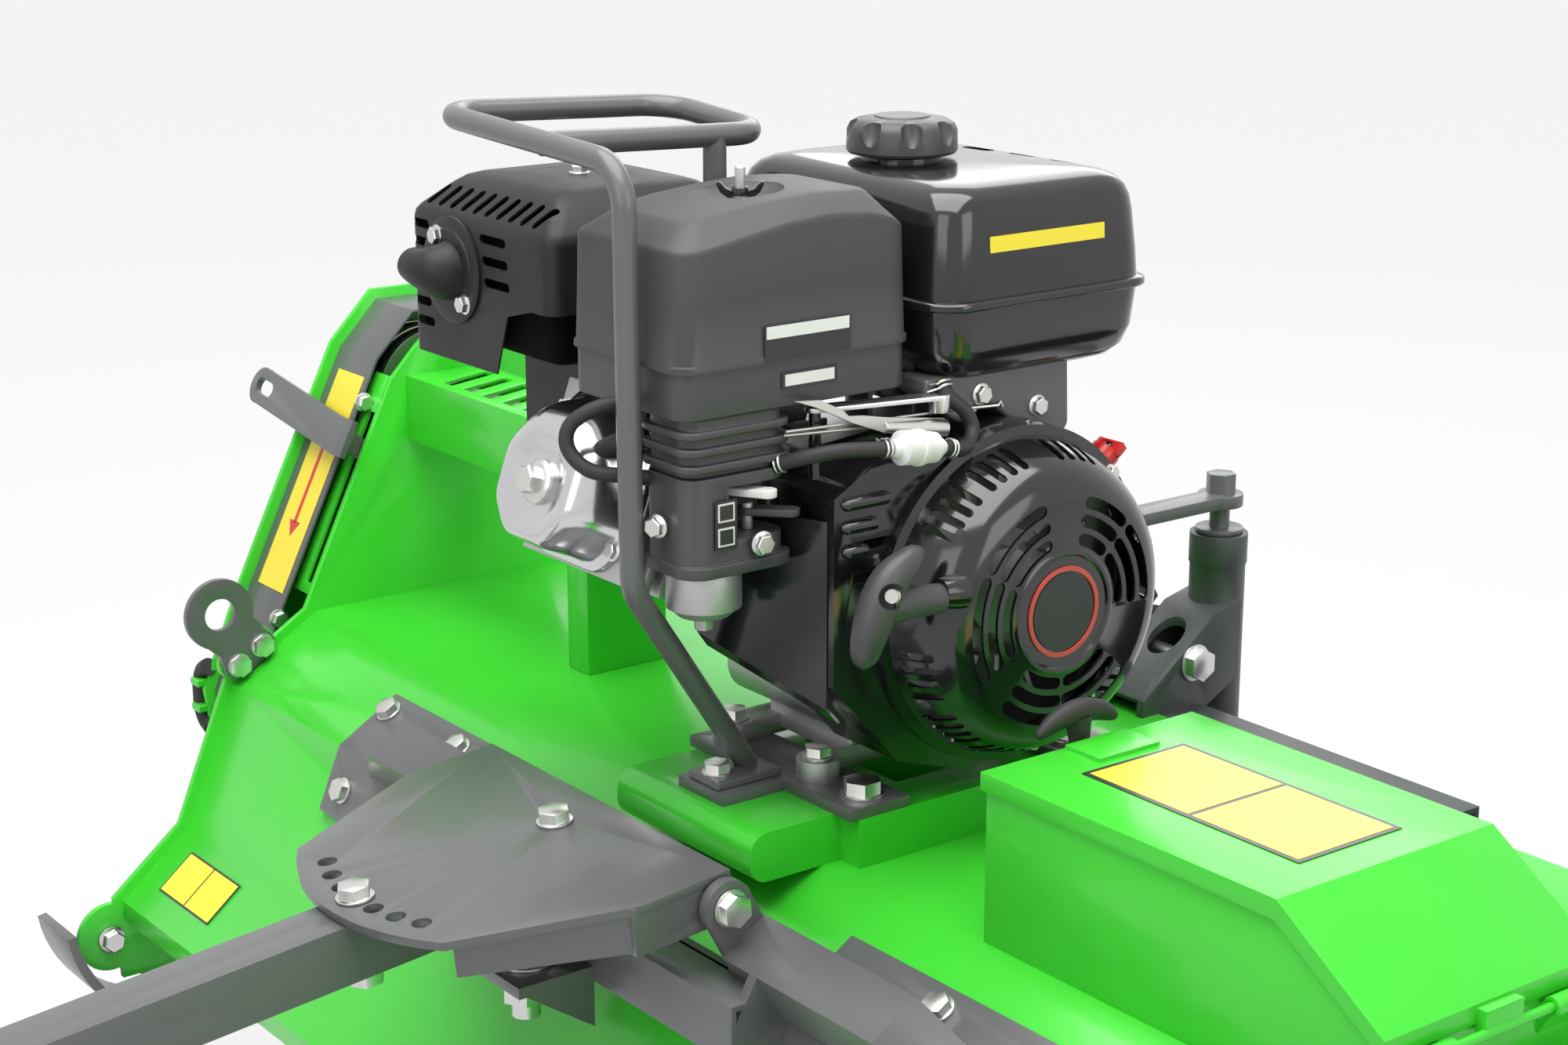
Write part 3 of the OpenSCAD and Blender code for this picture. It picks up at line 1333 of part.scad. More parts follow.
// Blower housing, flywheel and recoil starter
module blower_outline(inset) {
    circle(recoil_r + 3 - inset);
    polygon([[-8, recoil_r + 2 - inset], [122, 106 - inset], [152 - inset, 90 - inset], [152 - inset, -38 + inset / 2],
        [97 - inset / 2, -100 + inset], [30, -recoil_r - 7 + inset]]);
}

module blower_housing() {
    wall = 3;
    color(gloss_black) at_engine() {
        difference() {
            across(case_y[1], blower_front) blower_outline(0);
            across(case_y[1] - 1, blower_front - wall) blower_outline(wall);
            rod_y([0, 0], recoil_r - 14, blower_front - 10, blower_front + 1);
            block([96, blower_front - 10, 30], [136, blower_front + 1, 37]);
            block([96, blower_front - 10, 52], [136, blower_front + 1, 59]);
        }
        translate(switch_at) facing([-0.8, 0, 0.6]) cylinder(r = 13, h = 14);
        translate(switch_at) facing([-0.8, 0, 0.6]) cylinder(r = switch_pin_r, h = 28);
        translate([throttle_pivot[0], throttle_pivot[1], 90]) cylinder(r = lever_pin_r, h = throttle_z - 84);
    }
}

module arc_slot(r, w, span, depth) {
    rotate(-span / 2) rotate_extrude(angle = span) translate([r - w / 2, 0]) square([w, depth]);
}

module recoil_cover() {
    wall = 4;
    d = recoil_d;
    r = recoil_r;
    color(gloss_black) at_engine() translate([0, blower_front, 0]) rotate([-90, 0, 0]) difference() {
        union() {
            rotate_extrude() polygon([[r, 0], [r, 6], [r - 9, 14], [r - 15, d - 14], [r - 23, d - 4], [r - 31, d],
                [0, d], [0, d - wall], [r - 33, d - wall], [r - 27, d - wall - 3], [r - 19, d - 16],
                [r - 13, 14], [r - wall, 5], [r - wall, 0]]);
            translate([0, 0, d - 1]) cylinder(r = 34, h = 2.5);
        }
        for (a = [25, 145, 265], k = [0:2]) rotate(a) translate([0, 0, d - 8]) arc_slot(47 + 12.5 * k, 7, 74, 16);
        for (a = [25, 145, 265], k = [-1.5:1:1.5]) rotate(a + 7 * k) translate([r - 22, -2.5, 18]) cube([20, 5, d - 36]);
    }
    color(gloss_black) at_engine() rod_x(recoil_face - 10, 26, 9, 85, recoil_r + 6 - seat_gap);
}

module recoil_handle() {
    at = [138, recoil_face - 10, 26];
    color(rubber) at_engine() translate(at) {
        hull() {
            translate([6, 8, 30]) sphere(11, $fn = 20);
            translate([0, 0, 0]) sphere(13, $fn = 20);
        }
        hull() {
            translate([0, 0, 0]) sphere(13, $fn = 20);
            translate([4, 6, -38]) sphere(9, $fn = 20);
        }
        rotate([0, -90, 0]) cylinder(r = 7, h = at[0] - recoil_r - 6);
    }
}

module flywheel() {
    blades = 16;
    y0 = shaft_end - engine_y;
    color(alloy) at_engine() {
        rod_y([0, 0], 84, y0, y0 + 12);
        for (i = [0:blades - 1]) rotate([0, i * 360 / blades, 0]) block([48, y0 + 11, -2], [86, y0 + 34, 2]);
        rod_y([0, 0], 30, y0, y0 + 40);
    }
}

// Guard bar, controls and hoses
module guard_bar() {
    color(graphite) {
        at_engine() {
            swept_rod(rounded_path(bar_route, 30, 6), bar_r);
            swept_rod(rounded_path(bar_leg_route, 26, 5), bar_r);
            block([38, -65, case_top], [66, -37, case_top + 6]);
        }
        difference() {
            block([bar_foot[0] - 14, bar_foot[1] - 18, feet_z], [bar_foot[0] + 40, bar_foot[1] + 18, feet_z + bar_pad_t]);
            bolt_holes(platform_bolts);
        }
    }
}

module throttle_lever() {
    color(zinc) at_engine() difference() {
        union() {
            translate([0, 0, throttle_z]) linear_extrude(3) link(throttle_pivot, throttle_pivot + [-89, 20], 14);
            translate([throttle_pivot[0] - 89, throttle_pivot[1] + 20, throttle_z - 9]) cylinder(r = 7, h = 10);
        }
        translate([throttle_pivot[0], throttle_pivot[1], throttle_z - 1]) cylinder(r = lever_pin_r + run_gap, h = 6);
    }
}

module lever_tab(pivot, z, reach) {
    at_engine() difference() {
        translate([0, 0, z]) linear_extrude(5) link(pivot, pivot + reach, 13);
        translate([pivot[0], pivot[1], z - 1]) cylinder(r = lever_pin_r + run_gap, h = 8);
    }
}

module choke_lever() {
    color("white") lever_tab(choke_pivot, choke_z, [-16, 26]);
}

module fuel_lever() {
    color(plastic) lever_tab(tap_pivot, tap_z, [-20, 20]);
}

module engine_switch() {
    color("red") at_engine() translate(switch_at) facing([-0.8, 0, 0.6]) translate([0, 0, 14 + seat_gap]) difference() {
        union() {
            cylinder(r = 11, h = 9);
            translate([-3, -12, 8]) cube([6, 24, 10]);
        }
        translate([0, 0, -1]) cylinder(r = switch_pin_r + run_gap, h = 17);
    }
}

module hoses() {
    color(rubber) at_engine() {
        swept_rod(rounded_path(fuel_hose_route, 30, 4), 5, 8);
        swept_rod(rounded_path(tank_hose_route, 9, 3), 5, 8);
        swept_rod(rounded_path(breather_route, 14, 4), 7, 8);
    }
    color("white") at_engine() {
        a = fuel_hose_route[2];
        b = tank_hose_route[0];
        translate(a) facing(b - a) cylinder(r = 9, h = norm(b - a));
    }
}

// Battery box
lid_out = [[box_y0, box_top], lid_knee, [box_y1, lid_end_z]];

module box_outline(inset, low) {
    polygon([[box_y0 + inset, low], [box_y1 - inset, low], [box_y1 - inset, lid_end_z - inset * 0.7],
        [lid_knee[0] - inset * 0.3, box_top - inset], [box_y0 + inset, box_top - inset]]);
}

module battery_box() {
    side = box_t + seat_gap;
    color(lime) {
        difference() {
            forward(box_x0 + side, box_x1 - side) box_outline(side, deck_top);
            forward(box_x0 + side + box_t, box_x1 - side - box_t) polygon([[box_y0 + side + box_t, deck_top + box_t],
                [box_y1 - side - box_t, deck_top + box_t], [box_y1 - side - box_t, box_top + 10], [box_y0 + side + box_t, box_top + 10]]);
        }
        for (x = [box_x0 + 20, box_x1 - 50]) difference() {
            forward(x, x + 30) {
                translate(lid_hinge) circle(lid_pin_r + 3);
                polygon([lid_hinge + [-9, -20], lid_hinge + [0, -6], lid_hinge + [0, 0], lid_hinge + [-9, 0]]);
            }
            rod_x(lid_hinge[0], lid_hinge[1], lid_pin_r + run_gap, x - 1, x + 31);
        }
        rod_x(latch_pivot[0], latch_pivot[1], latch_pin_r, latch_x - 22, latch_x + 22);
        for (s = [-1, 1]) block([latch_x + s * 20 - 2, latch_pivot[0] - 4, latch_pivot[1] - 5],
            [latch_x + s * 20 + 2, box_y0 + side + 1, latch_pivot[1] + 5]);
    }
}

module box_lid() {
    color(lime) {
        difference() {
            forward(box_x0, box_x1) polygon(concat(lid_out, [[box_y1, lid_end_z - lid_rim],
                [lid_knee[0] - 2, box_top - lid_rim - 1], [box_y0, box_top - lid_rim]]));
            forward(box_x0 + box_t, box_x1 - box_t) polygon([[box_y0 + box_t, box_top - box_t], [lid_knee[0] - 0.8, box_top - box_t],
                [box_y1 - box_t, lid_end_z - box_t * 0.6], [box_y1 - box_t, lid_end_z - 60], [box_y0 + box_t, lid_end_z - 60]]);
        }
        block([latch_x - 26, box_y0 + 2, box_top - 1], [latch_x + 26, box_y0 + 34, box_top + 3]);
        rod_x(lid_hinge[0], lid_hinge[1], lid_pin_r, box_x0 + 12, box_x1 - 12);
        block([-16 + (box_x0 + box_x1) / 2, box_y1 - 1, lid_hinge[1] - 1], [16 + (box_x0 + box_x1) / 2, lid_hinge[0] + 1, lid_end_z - 2]);
    }
}

module box_latch() {
    stem = box_top - latch_pivot[1] + 8;
    color(rubber) translate([latch_x, latch_pivot[0], latch_pivot[1]]) difference() {
        union() {
            rod_x(0, 0, 6, -15, 15);
            block([-13, -4, 0], [13, 2, stem]);
            rod_x(-4, stem, 7, -28, 28);
        }
        rod_x(0, 0, latch_pin_r + run_gap, -20, 20);
    }
}

module battery() {
    size = [150, 87, 93];
    at = [(box_x0 + box_x1 - size[0]) / 2, box_y0 + 30, deck_top + box_t];
    color(plastic) translate(at) {
        cube(size - [0, 0, 6]);
        for (x = [18, size[0] - 18]) translate([x, 16, size[2] - 7]) cylinder(r = 7, h = 7);
    }
}

// Middle of the machine, which the origin lies under
handle_tip = lever_root_y - lever_reach - lever_w / 2;
middle = [(tow_end[0] + tow_eye_r - axle_back - tyre_r) / 2, (skid_mid + skid_w / 2 + handle_tip) / 2, 0];

module placed() {
    translate(-middle) children();
}

placed() deck_shell();
placed() left_side_plate();
placed() right_side_plate();
placed() skids();
placed() rear_flap();
placed() engine_platform();
placed() engine_rails();
placed() fasteners();
placed() belt_housing();
placed() guard_plate();
placed() shaft_tunnel();
placed() lift_brackets();
placed() tension_lever();
placed() idler_pulley();
placed() drive_belts();
placed() drive_shaft();
placed() rotor();
placed() rotor_pulley();
placed() flail_row_a();
placed() flail_row_b();
placed() shaft_bearings();
placed() front_frame();
placed() swivel_plate();
placed() plate_bolts();
placed() drawbar();
placed() lock_bolt();
placed() wheel_frame();
placed() left_rim();
placed() left_tyre();
placed() right_rim();
placed() right_tyre();
placed() jack_post();
placed() jack_crank();
placed() jack_leg();
placed() crankcase();
placed() cylinder_head();
placed() valve_cover();
placed() muffler();
placed() muffler_shield();
placed() exhaust_deflector();
placed() air_filter_cover();
placed() filter_base();
placed() intake_cover();
placed() carburetor();
placed() fuel_tank();
placed() fuel_cap();
placed() blower_housing();
placed() recoil_cover();
placed() recoil_handle();
placed() flywheel();
placed() guard_bar();
placed() throttle_lever();
placed() choke_lever();
placed() fuel_lever();
placed() engine_switch();
placed() hoses();
placed() battery_box();
placed() box_lid();
placed() box_latch();
placed() battery();
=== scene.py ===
"""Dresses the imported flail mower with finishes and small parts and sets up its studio."""
import math

import bmesh
import bpy
from bpy.props import FloatProperty, FloatVectorProperty, IntProperty, PointerProperty
from bpy.types import Operator, Panel, PropertyGroup
from mathutils import Matrix, Vector


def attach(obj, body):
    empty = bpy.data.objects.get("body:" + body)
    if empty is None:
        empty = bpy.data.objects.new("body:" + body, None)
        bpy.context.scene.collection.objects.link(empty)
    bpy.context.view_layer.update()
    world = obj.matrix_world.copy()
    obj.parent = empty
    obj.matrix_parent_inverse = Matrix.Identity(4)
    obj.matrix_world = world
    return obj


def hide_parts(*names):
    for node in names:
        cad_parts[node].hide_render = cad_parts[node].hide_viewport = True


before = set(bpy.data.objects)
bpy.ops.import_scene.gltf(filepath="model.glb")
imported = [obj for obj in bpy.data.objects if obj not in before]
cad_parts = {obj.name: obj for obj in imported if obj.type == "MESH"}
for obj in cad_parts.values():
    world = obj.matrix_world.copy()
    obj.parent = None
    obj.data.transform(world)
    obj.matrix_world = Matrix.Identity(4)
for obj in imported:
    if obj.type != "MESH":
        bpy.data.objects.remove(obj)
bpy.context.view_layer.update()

bl_info = {
    "name": "Flail mower dressing",
    "version": (1, 0, 0),
    "blender": (4, 5, 0),
    "location": "3D View > Sidebar > Mower",
    "description": "Finishes, small parts and a studio for a towed flail mower",
    "category": "Object",
}

# Working frame in millimetres: x forward from the crankshaft, y left from the deck's middle, z up
MIDDLE = Vector((227.5, -75.5, 0.0))
MM = 0.001

# Engine frame: the same directions, from the crankshaft and the engine's middle
ENGINE = Vector((0.0, 13.0, 505.0))
CYLINDER_TILT = math.radians(20)
HEAD_Y = -33.0
UP = Vector((0.0, 0.0, 1.0))
CURVE_STEPS = 5
PIECE_EDGE_ANGLE = math.radians(40)

# Screw's flange, and its head as width and heights, in shares of the thread's diameter
SCREW_FLANGE = [(1.08, 0), (1.08, 0.14), (0.9, 0.26)]
SCREW_HEAD = (1.55, 0.2, 0.85)

# Turns from a flat outline to a wall that faces left, forward or right
FACING_LEFT = Matrix(((-1, 0, 0, 0), (0, 0, 1, 0), (0, 1, 0, 0), (0, 0, 0, 1)))
FACING_FORWARD = Matrix(((0, 0, 1, 0), (1, 0, 0, 0), (0, 1, 0, 0), (0, 0, 0, 1)))
FACING_RIGHT = Matrix(((1, 0, 0, 0), (0, 0, -1, 0), (0, 1, 0, 0), (0, 0, 0, 1)))


def to_row(p):
    """A working-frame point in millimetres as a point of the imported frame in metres."""
    return (Vector(p) - MIDDLE) * MM


def eng(x, y, z):
    """A point of the engine frame."""
    return Vector((x, y, z)) + ENGINE


def at_engine(points):
    """Points of the engine frame."""
    return [Vector(p) + ENGINE for p in points]


def on_cylinder(u, v, w):
    """A point on the tilted cylinder: u along it, v across and w up from its axis."""
    c = math.cos(CYLINDER_TILT)
    s = math.sin(CYLINDER_TILT)
    return eng(u * c - w * s, HEAD_Y + v, u * s + w * c)


def facing(origin, normal, spin=0.0):
    """A matrix that puts local z along the normal at the origin."""
    turn = Vector(normal).normalized().to_track_quat("Z", "Y").to_matrix().to_4x4()
    return Matrix.Translation(Vector(origin)) @ turn @ Matrix.Rotation(spin, 4, "Z")


def rounded(points, radius, steps):
    """The corners of a path rounded to arcs."""
    points = [Vector(p) for p in points]
    out = [points[0]]
    for a, p, b in zip(points, points[1:], points[2:]):
        d1 = (a - p).normalized()
        d2 = (b - p).normalized()
        angle = d1.angle(d2)
        centre = p + (d1 + d2).normalized() * radius / math.sin(angle / 2)
        v1 = p + d1 * radius / math.tan(angle / 2) - centre
        v2 = p + d2 * radius / math.tan(angle / 2) - centre
        turn = math.pi - angle
        for k in range(steps + 1):
            t = k / steps
            out.append(centre + (math.sin((1 - t) * turn) * v1 + math.sin(t * turn) * v2) / math.sin(turn))
    out.append(points[-1])
    return out


def smooth_path(points, steps):
    """A smooth curve through the given points."""
    points = [Vector(p) for p in points]
    padded = [2 * points[0] - points[1]] + points + [2 * points[-1] - points[-2]]
    out = []
    for i in range(1, len(padded) - 2):
        p0, p1, p2, p3 = padded[i - 1 : i + 3]
        for k in range(steps):
            t = k / steps
            bend = 2 * p1 + (p2 - p0) * t + (2 * p0 - 5 * p1 + 4 * p2 - p3) * t * t
            out.append(0.5 * (bend + (3 * p1 - p0 - 3 * p2 + p3) * t ** 3))
    out.append(points[-1])
    return out


def smooth_numbers(values, steps):
    """Numbers that run smoothly through the given ones."""
    return [v.x for v in smooth_path([(value, 0, 0) for value in values], steps)]


def turns(count):
    """Cosine and sine of equal steps round a circle."""
    return [(math.cos(2 * math.pi * k / count), math.sin(2 * math.pi * k / count)) for k in range(count)]


def linked(name, data):
    """A new object in the scene."""
    obj = bpy.data.objects.new(name, data)
    bpy.context.scene.collection.objects.link(obj)
    return obj


class Solid:
    """Gathers the closed shapes of one piece, in millimetres of the working frame."""

    def __init__(self):
        self.bm = bmesh.new()

    def rings(self, rings, closed_loop=False):
        """Skins a row of rings of points that all have the same count, and caps its ends unless it closes."""
        rows = [[self.bm.verts.new(p) for p in ring] for ring in rings]
        count = len(rows[0])
        pairs = list(zip(rows, rows[1:]))
        if closed_loop:
            pairs.append((rows[-1], rows[0]))
        for a, b in pairs:
            for k in range(count):
                m = (k + 1) % count
                self.bm.faces.new((a[k], a[m], b[m], b[k]))
        if not closed_loop:
            self.bm.faces.new(list(reversed(rows[0])))
            self.bm.faces.new(rows[-1])
        return self

    def lathe(self, matrix, profile, sides, closed=False):
        """Turns a profile of radius and height about the matrix's z axis."""
        rings = [[matrix @ Vector((r * c, r * s, h)) for c, s in turns(sides)] for r, h in profile]
        return self.rings(rings, closed_loop=closed)

    def ring_band(self, matrix, outer, inner, low, high):
        """A flat ring between two radii."""
        profile = [(outer, low), (outer, high), (inner, high), (inner, low)]
        return self.lathe(matrix, profile, 64, closed=True)

    def prism(self, matrix, outline, low, high):
        """Extrudes an outline between two heights on the matrix's z axis."""
        return self.rings([[matrix @ Vector((x, y, h)) for x, y in outline] for h in (low, high)])

    def box(self, low, high):
        """A box between two corners."""
        outline = [(low[0], low[1]), (high[0], low[1]), (high[0], high[1]), (low[0], high[1])]
        return self.prism(Matrix.Identity(4), outline, low[2], high[2])

    def sweep(self, path, radius, sides, closed=False, flat=1.0):
        """A tube along a path, with one radius or a radius for each point."""
        path = [Vector(p) for p in path]
        count = len(path)
        radii = radius if isinstance(radius, (list, tuple)) else [radius] * count
        tangents = []
        for i in range(count):
            a = path[i - 1] if i or closed else path[0]
            b = path[(i + 1) % count] if i < count - 1 or closed else path[-1]
            tangents.append((b - a).normalized())
        side = tangents[0].orthogonal().normalized()
        rings = []
        for i, (p, t, r) in enumerate(zip(path, tangents, radii)):
            if i:
                side = tangents[i - 1].rotation_difference(t) @ side
            up = t.cross(side).normalized()
            side = up.cross(t).normalized()
            rings.append([p + r * (c * side + flat * s * up) for c, s in turns(sides)])
        return self.rings(rings, closed_loop=closed)

    def hexagon(self, matrix, across, low, high):
        """A six-sided head with a chamfered top."""
        r = across / math.sqrt(3)
        chamfer = 0.12 * (high - low)
        return self.lathe(matrix, [(r, low), (r, high - chamfer), (0.88 * r, high)], 6)

    def screw(self, at, normal, d, spin=0.2, stud=0.0):
        """A flanged hexagon screw, or a nut with its stud standing out."""
        m = facing(at, normal, spin)
        self.lathe(m, [(r * d, h * d) for r, h in SCREW_FLANGE], 24)
        self.hexagon(m, *[share * d for share in SCREW_HEAD])
        if stud:
            thread = [(0.5 * d, 0.3 * d), (0.5 * d, 0.85 * d + stud), (0.4 * d, 0.95 * d + stud)]
            self.lathe(m, thread, 16)
        return self

    def plate(self, corners, thickness):
        """A thin plate over four corners, given counter-clockwise as seen from outside."""
        return self.rings([[Vector(c) for c in corners], outward(corners, thickness)])

    def panes(self, corners, shares, lift=0.3):
        """Thin plates inside a larger one, each given by shares of its sides."""
        for u0, u1, v0, v1 in shares:
            self.plate(inner(corners, u0, u1, v0, v1, lift), PANE_THICKNESS)
        return self

    def cut(self, cutter):
        """Takes another solid's shapes out of this one."""
        pair = []
        for solid in (self, cutter):
            bmesh.ops.recalc_face_normals(solid.bm, faces=solid.bm.faces)
            mesh = bpy.data.meshes.new("cut")
            solid.bm.to_mesh(mesh)
            solid.bm.free()
            pair.append(linked("cut", mesh))
        mod = pair[0].modifiers.new("Cut", "BOOLEAN")
        mod.operation = "DIFFERENCE"
        mod.solver = "EXACT"
        mod.object = pair[1]
        graph = bpy.context.evaluated_depsgraph_get()
        self.bm = bmesh.new()
        self.bm.from_mesh(pair[0].evaluated_get(graph).to_mesh())
        for obj in pair:
            bpy.data.objects.remove(obj, do_unlink=True)
        return self

    def done(self, name, finish, body="chassis", slot=None, sharp=35, bevel=0.0, replaces=()):
        """Makes the object, gives it its finish and lets it ride on a body."""
        for v in self.bm.verts:
            v.co = to_row(v.co)
        bmesh.ops.recalc_face_normals(self.bm, faces=self.bm.faces)
        mesh = bpy.data.meshes.new(name)
        self.bm.to_mesh(mesh)
        self.bm.free()
        for p in mesh.polygons:
            p.use_smooth = True
        mesh.set_sharp_from_angle(angle=math.radians(sharp))
        mesh.materials.append(finish_of(finish))
        obj = linked(name, mesh)
        if bevel:
            mod = obj.modifiers.new("Edges", "BEVEL")
            mod.width = bevel * MM
            mod.segments = 2
            mod.limit_method = "ANGLE"
            mod.angle_limit = PIECE_EDGE_ANGLE
            mod.harden_normals = True
        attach(obj, body)
        if replaces:
            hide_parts(*replaces)


def outward(corners, lift):
    """A plate's corners moved along its outward normal."""
    corners = [Vector(c) for c in corners]
    normal = (corners[1] - corners[0]).cross(corners[3] - corners[0]).normalized()
    return [c + normal * lift for c in corners]


def new_group(name, inputs, outputs):
    """A shader node group with float or colour sockets."""
    group = bpy.data.node_groups.new(name, "ShaderNodeTree")
    kinds = {"float": "NodeSocketFloat", "colour": "NodeSocketColor"}
    for label, kind, default in inputs:
        socket = group.interface.new_socket(name=label, in_out="INPUT", socket_type=kinds[kind])
        socket.default_value = default
    for label, kind in outputs:
        group.interface.new_socket(name=label, in_out="OUTPUT", socket_type=kinds[kind])
    return group, group.nodes.new("NodeGroupInput"), group.nodes.new("NodeGroupOutput")


def set_inputs(node, values):
    """Sets a node's inputs by name."""
    for name, value in values.items():
        node.inputs[name].default_value = value
    return node


def noise_in(group, scale_from, detail):
    """A noise texture on the piece's own coordinates inside a group."""
    coords = group.nodes.new("ShaderNodeTexCoord")
    noise = set_inputs(group.nodes.new("ShaderNodeTexNoise"), {"Detail": detail})
    group.links.new(coords.outputs["Object"], noise.inputs["Vector"])
    group.links.new(scale_from, noise.inputs["Scale"])
    return noise.outputs["Fac"]


def math_in(tree, kind, a, b):
    """A math node on two sockets or numbers."""
    node = tree.nodes.new("ShaderNodeMath")
    node.operation = kind
    for socket, source in zip(node.inputs, (a, b)):
        if isinstance(source, (int, float)):
            socket.default_value = source
        else:
            tree.links.new(source, socket)
    return node.outputs[0]


def drift_in(group, enter, middle, detail):
    """Spreads the useful middle of a noise by the group's amount to both sides of a value."""
    ranger = set_inputs(group.nodes.new("ShaderNodeMapRange"), {"From Min": 0.3, "From Max": 0.7})
    group.links.new(noise_in(group, enter.outputs["Scale"], detail), ranger.inputs["Value"])
    for name, kind in (("To Min", "SUBTRACT"), ("To Max", "ADD")):
        group.links.new(math_in(group, kind, middle, enter.outputs["Amount"]), ranger.inputs[name])
    return ranger.outputs["Result"]


def make_tone_drift():
    """A colour that drifts a little lighter and darker over the surface."""
    inputs = [("Colour", "colour", (0.5, 0.5, 0.5, 1)), ("Scale", "float", 6.0), ("Amount", "float", 0.06)]
    group, enter, leave = new_group("Tone drift", inputs, [("Colour", "colour")])
    mix = group.nodes.new("ShaderNodeMix")
    mix.data_type = "RGBA"
    mix.blend_type = "MULTIPLY"
    mix.inputs[0].default_value = 1.0
    group.links.new(enter.outputs["Colour"], mix.inputs[6])
    group.links.new(drift_in(group, enter, 1.0, 4.0), mix.inputs[7])
    group.links.new(mix.outputs[2], leave.inputs["Colour"])
    return group


def make_gloss_drift():
    """A roughness that drifts over the surface."""
    inputs = [("Roughness", "float", 0.4), ("Scale", "float", 20.0), ("Amount", "float", 0.06)]
    group, enter, leave = new_group("Gloss drift", inputs, [("Roughness", "float")])
    drift = drift_in(group, enter, enter.outputs["Roughness"], 5.0)
    group.links.new(drift, leave.inputs["Roughness"])
    return group


def make_surface_grain():
    """A fine height for orange peel, moulding grain or a cast skin."""
    inputs = [("Scale", "float", 600.0), ("Height", "float", 0.3), ("Waves", "float", 0.3)]
    group, enter, leave = new_group("Surface grain", inputs, [("Height", "float")])
    fine = noise_in(group, enter.outputs["Scale"], 2.0)
    coarse = noise_in(group, math_in(group, "MULTIPLY", enter.outputs["Scale"], WAVE_SCALE), 2.0)
    fine = math_in(group, "MULTIPLY", fine, enter.outputs["Height"])
    coarse = math_in(group, "MULTIPLY", coarse, enter.outputs["Waves"])
    group.links.new(math_in(group, "ADD", fine, coarse), leave.inputs["Height"])
    return group


# Scale of the grain's waves as a share of its fine scale
WAVE_SCALE = 0.12

# Shader groups and materials made so far
GROUPS = {}
FINISHES = {}


def shader_group(name):
    """The shared group of that name, built the first time that it is asked for."""
    makers = {"tone": make_tone_drift, "gloss": make_gloss_drift, "grain": make_surface_grain}
    if name not in GROUPS:
        GROUPS[name] = makers[name]()
    return GROUPS[name]


# Shared by every finish: drift of colour and gloss as noise scale and amount, and the coat and bump
TONE_DRIFT = (7.0, 0.05)
GLOSS_DRIFT = (18.0, 0.08)
COAT_ROUGHNESS = 0.12
BUMP_STRENGTH = 0.6

# Specular level of the finishes that differ from the usual half
SPECULAR = {"lime_coat": 0.35, "shield_black": 0.3, "grained_plastic": 0.4, "soot": 0.05, "tyre_rubber": 0.25}

# Finish as colour property, roughness, metallic, coat, grain scale, grain height, waves, bump depth in mm
FINISH_TABLE = {
    "lime_coat": ("lime", 0.3, 0.0, 0.25, 420.0, 0.3, 0.02, 0.02),
    "graphite_coat": ("graphite", 0.36, 0.0, 0.2, 520.0, 0.4, 0.1, 0.12),
    "black_enamel": ("black_enamel", 0.14, 0.0, 0.4, 300.0, 0.1, 0.3, 0.04),
    "shield_black": ("shield_black", 0.46, 0.0, 0.0, 700.0, 0.5, 0.2, 0.12),
    "soot": ("soot", 0.85, 0.0, 0.0, 400.0, 0.6, 0.4, 0.2),
    "grained_plastic": ("dark_plastic", 0.55, 0.0, 0.0, 1100.0, 0.9, 0.1, 0.22),
    "smooth_plastic": ("dark_plastic", 0.42, 0.0, 0.0, 500.0, 0.3, 0.2, 0.08),
    "zinc_plate": ("zinc", 0.32, 1.0, 0.0, 500.0, 0.3, 0.3, 0.05),
    "cast_alloy": ("alloy", 0.48, 0.9, 0.0, 900.0, 0.9, 0.4, 0.3),
    "chrome": ("chrome", 0.16, 1.0, 0.0, 200.0, 0.05, 0.2, 0.03),
    "dark_iron": ("iron", 0.55, 0.7, 0.0, 600.0, 0.7, 0.4, 0.3),
    "black_rubber": ("rubber", 0.62, 0.0, 0.0, 700.0, 0.6, 0.2, 0.15),
    "tyre_rubber": ("tyre", 0.78, 0.0, 0.0, 500.0, 0.8, 0.3, 0.3),
    "red_plastic": ("red", 0.3, 0.0, 0.1, 400.0, 0.2, 0.2, 0.05),
    "white_plastic": ("white", 0.4, 0.0, 0.0, 400.0, 0.2, 0.2, 0.05),
    "label_yellow": ("label_yellow", 0.38, 0.0, 0.2, 300.0, 0.1, 0.2, 0.03),
    "label_dark": ("label_dark", 0.36, 0.0, 0.2, 300.0, 0.1, 0.2, 0.03),
    "label_white": ("label_white", 0.4, 0.0, 0.1, 300.0, 0.1, 0.2, 0.03),
    "label_red": ("label_red", 0.36, 0.0, 0.2, 300.0, 0.1, 0.2, 0.03),
    "badge_coral": ("badge_coral", 0.3, 0.3, 0.3, 300.0, 0.1, 0.2, 0.03),
    "jack_grey": ("jack_grey", 0.5, 0.1, 0.1, 520.0, 0.5, 0.5, 0.2),
}


def group_node(tree, name, **inputs):
    """A node of a shared group with its inputs set."""
    node = tree.nodes.new("ShaderNodeGroup")
    node.node_tree = shader_group(name)
    return set_inputs(node, inputs)


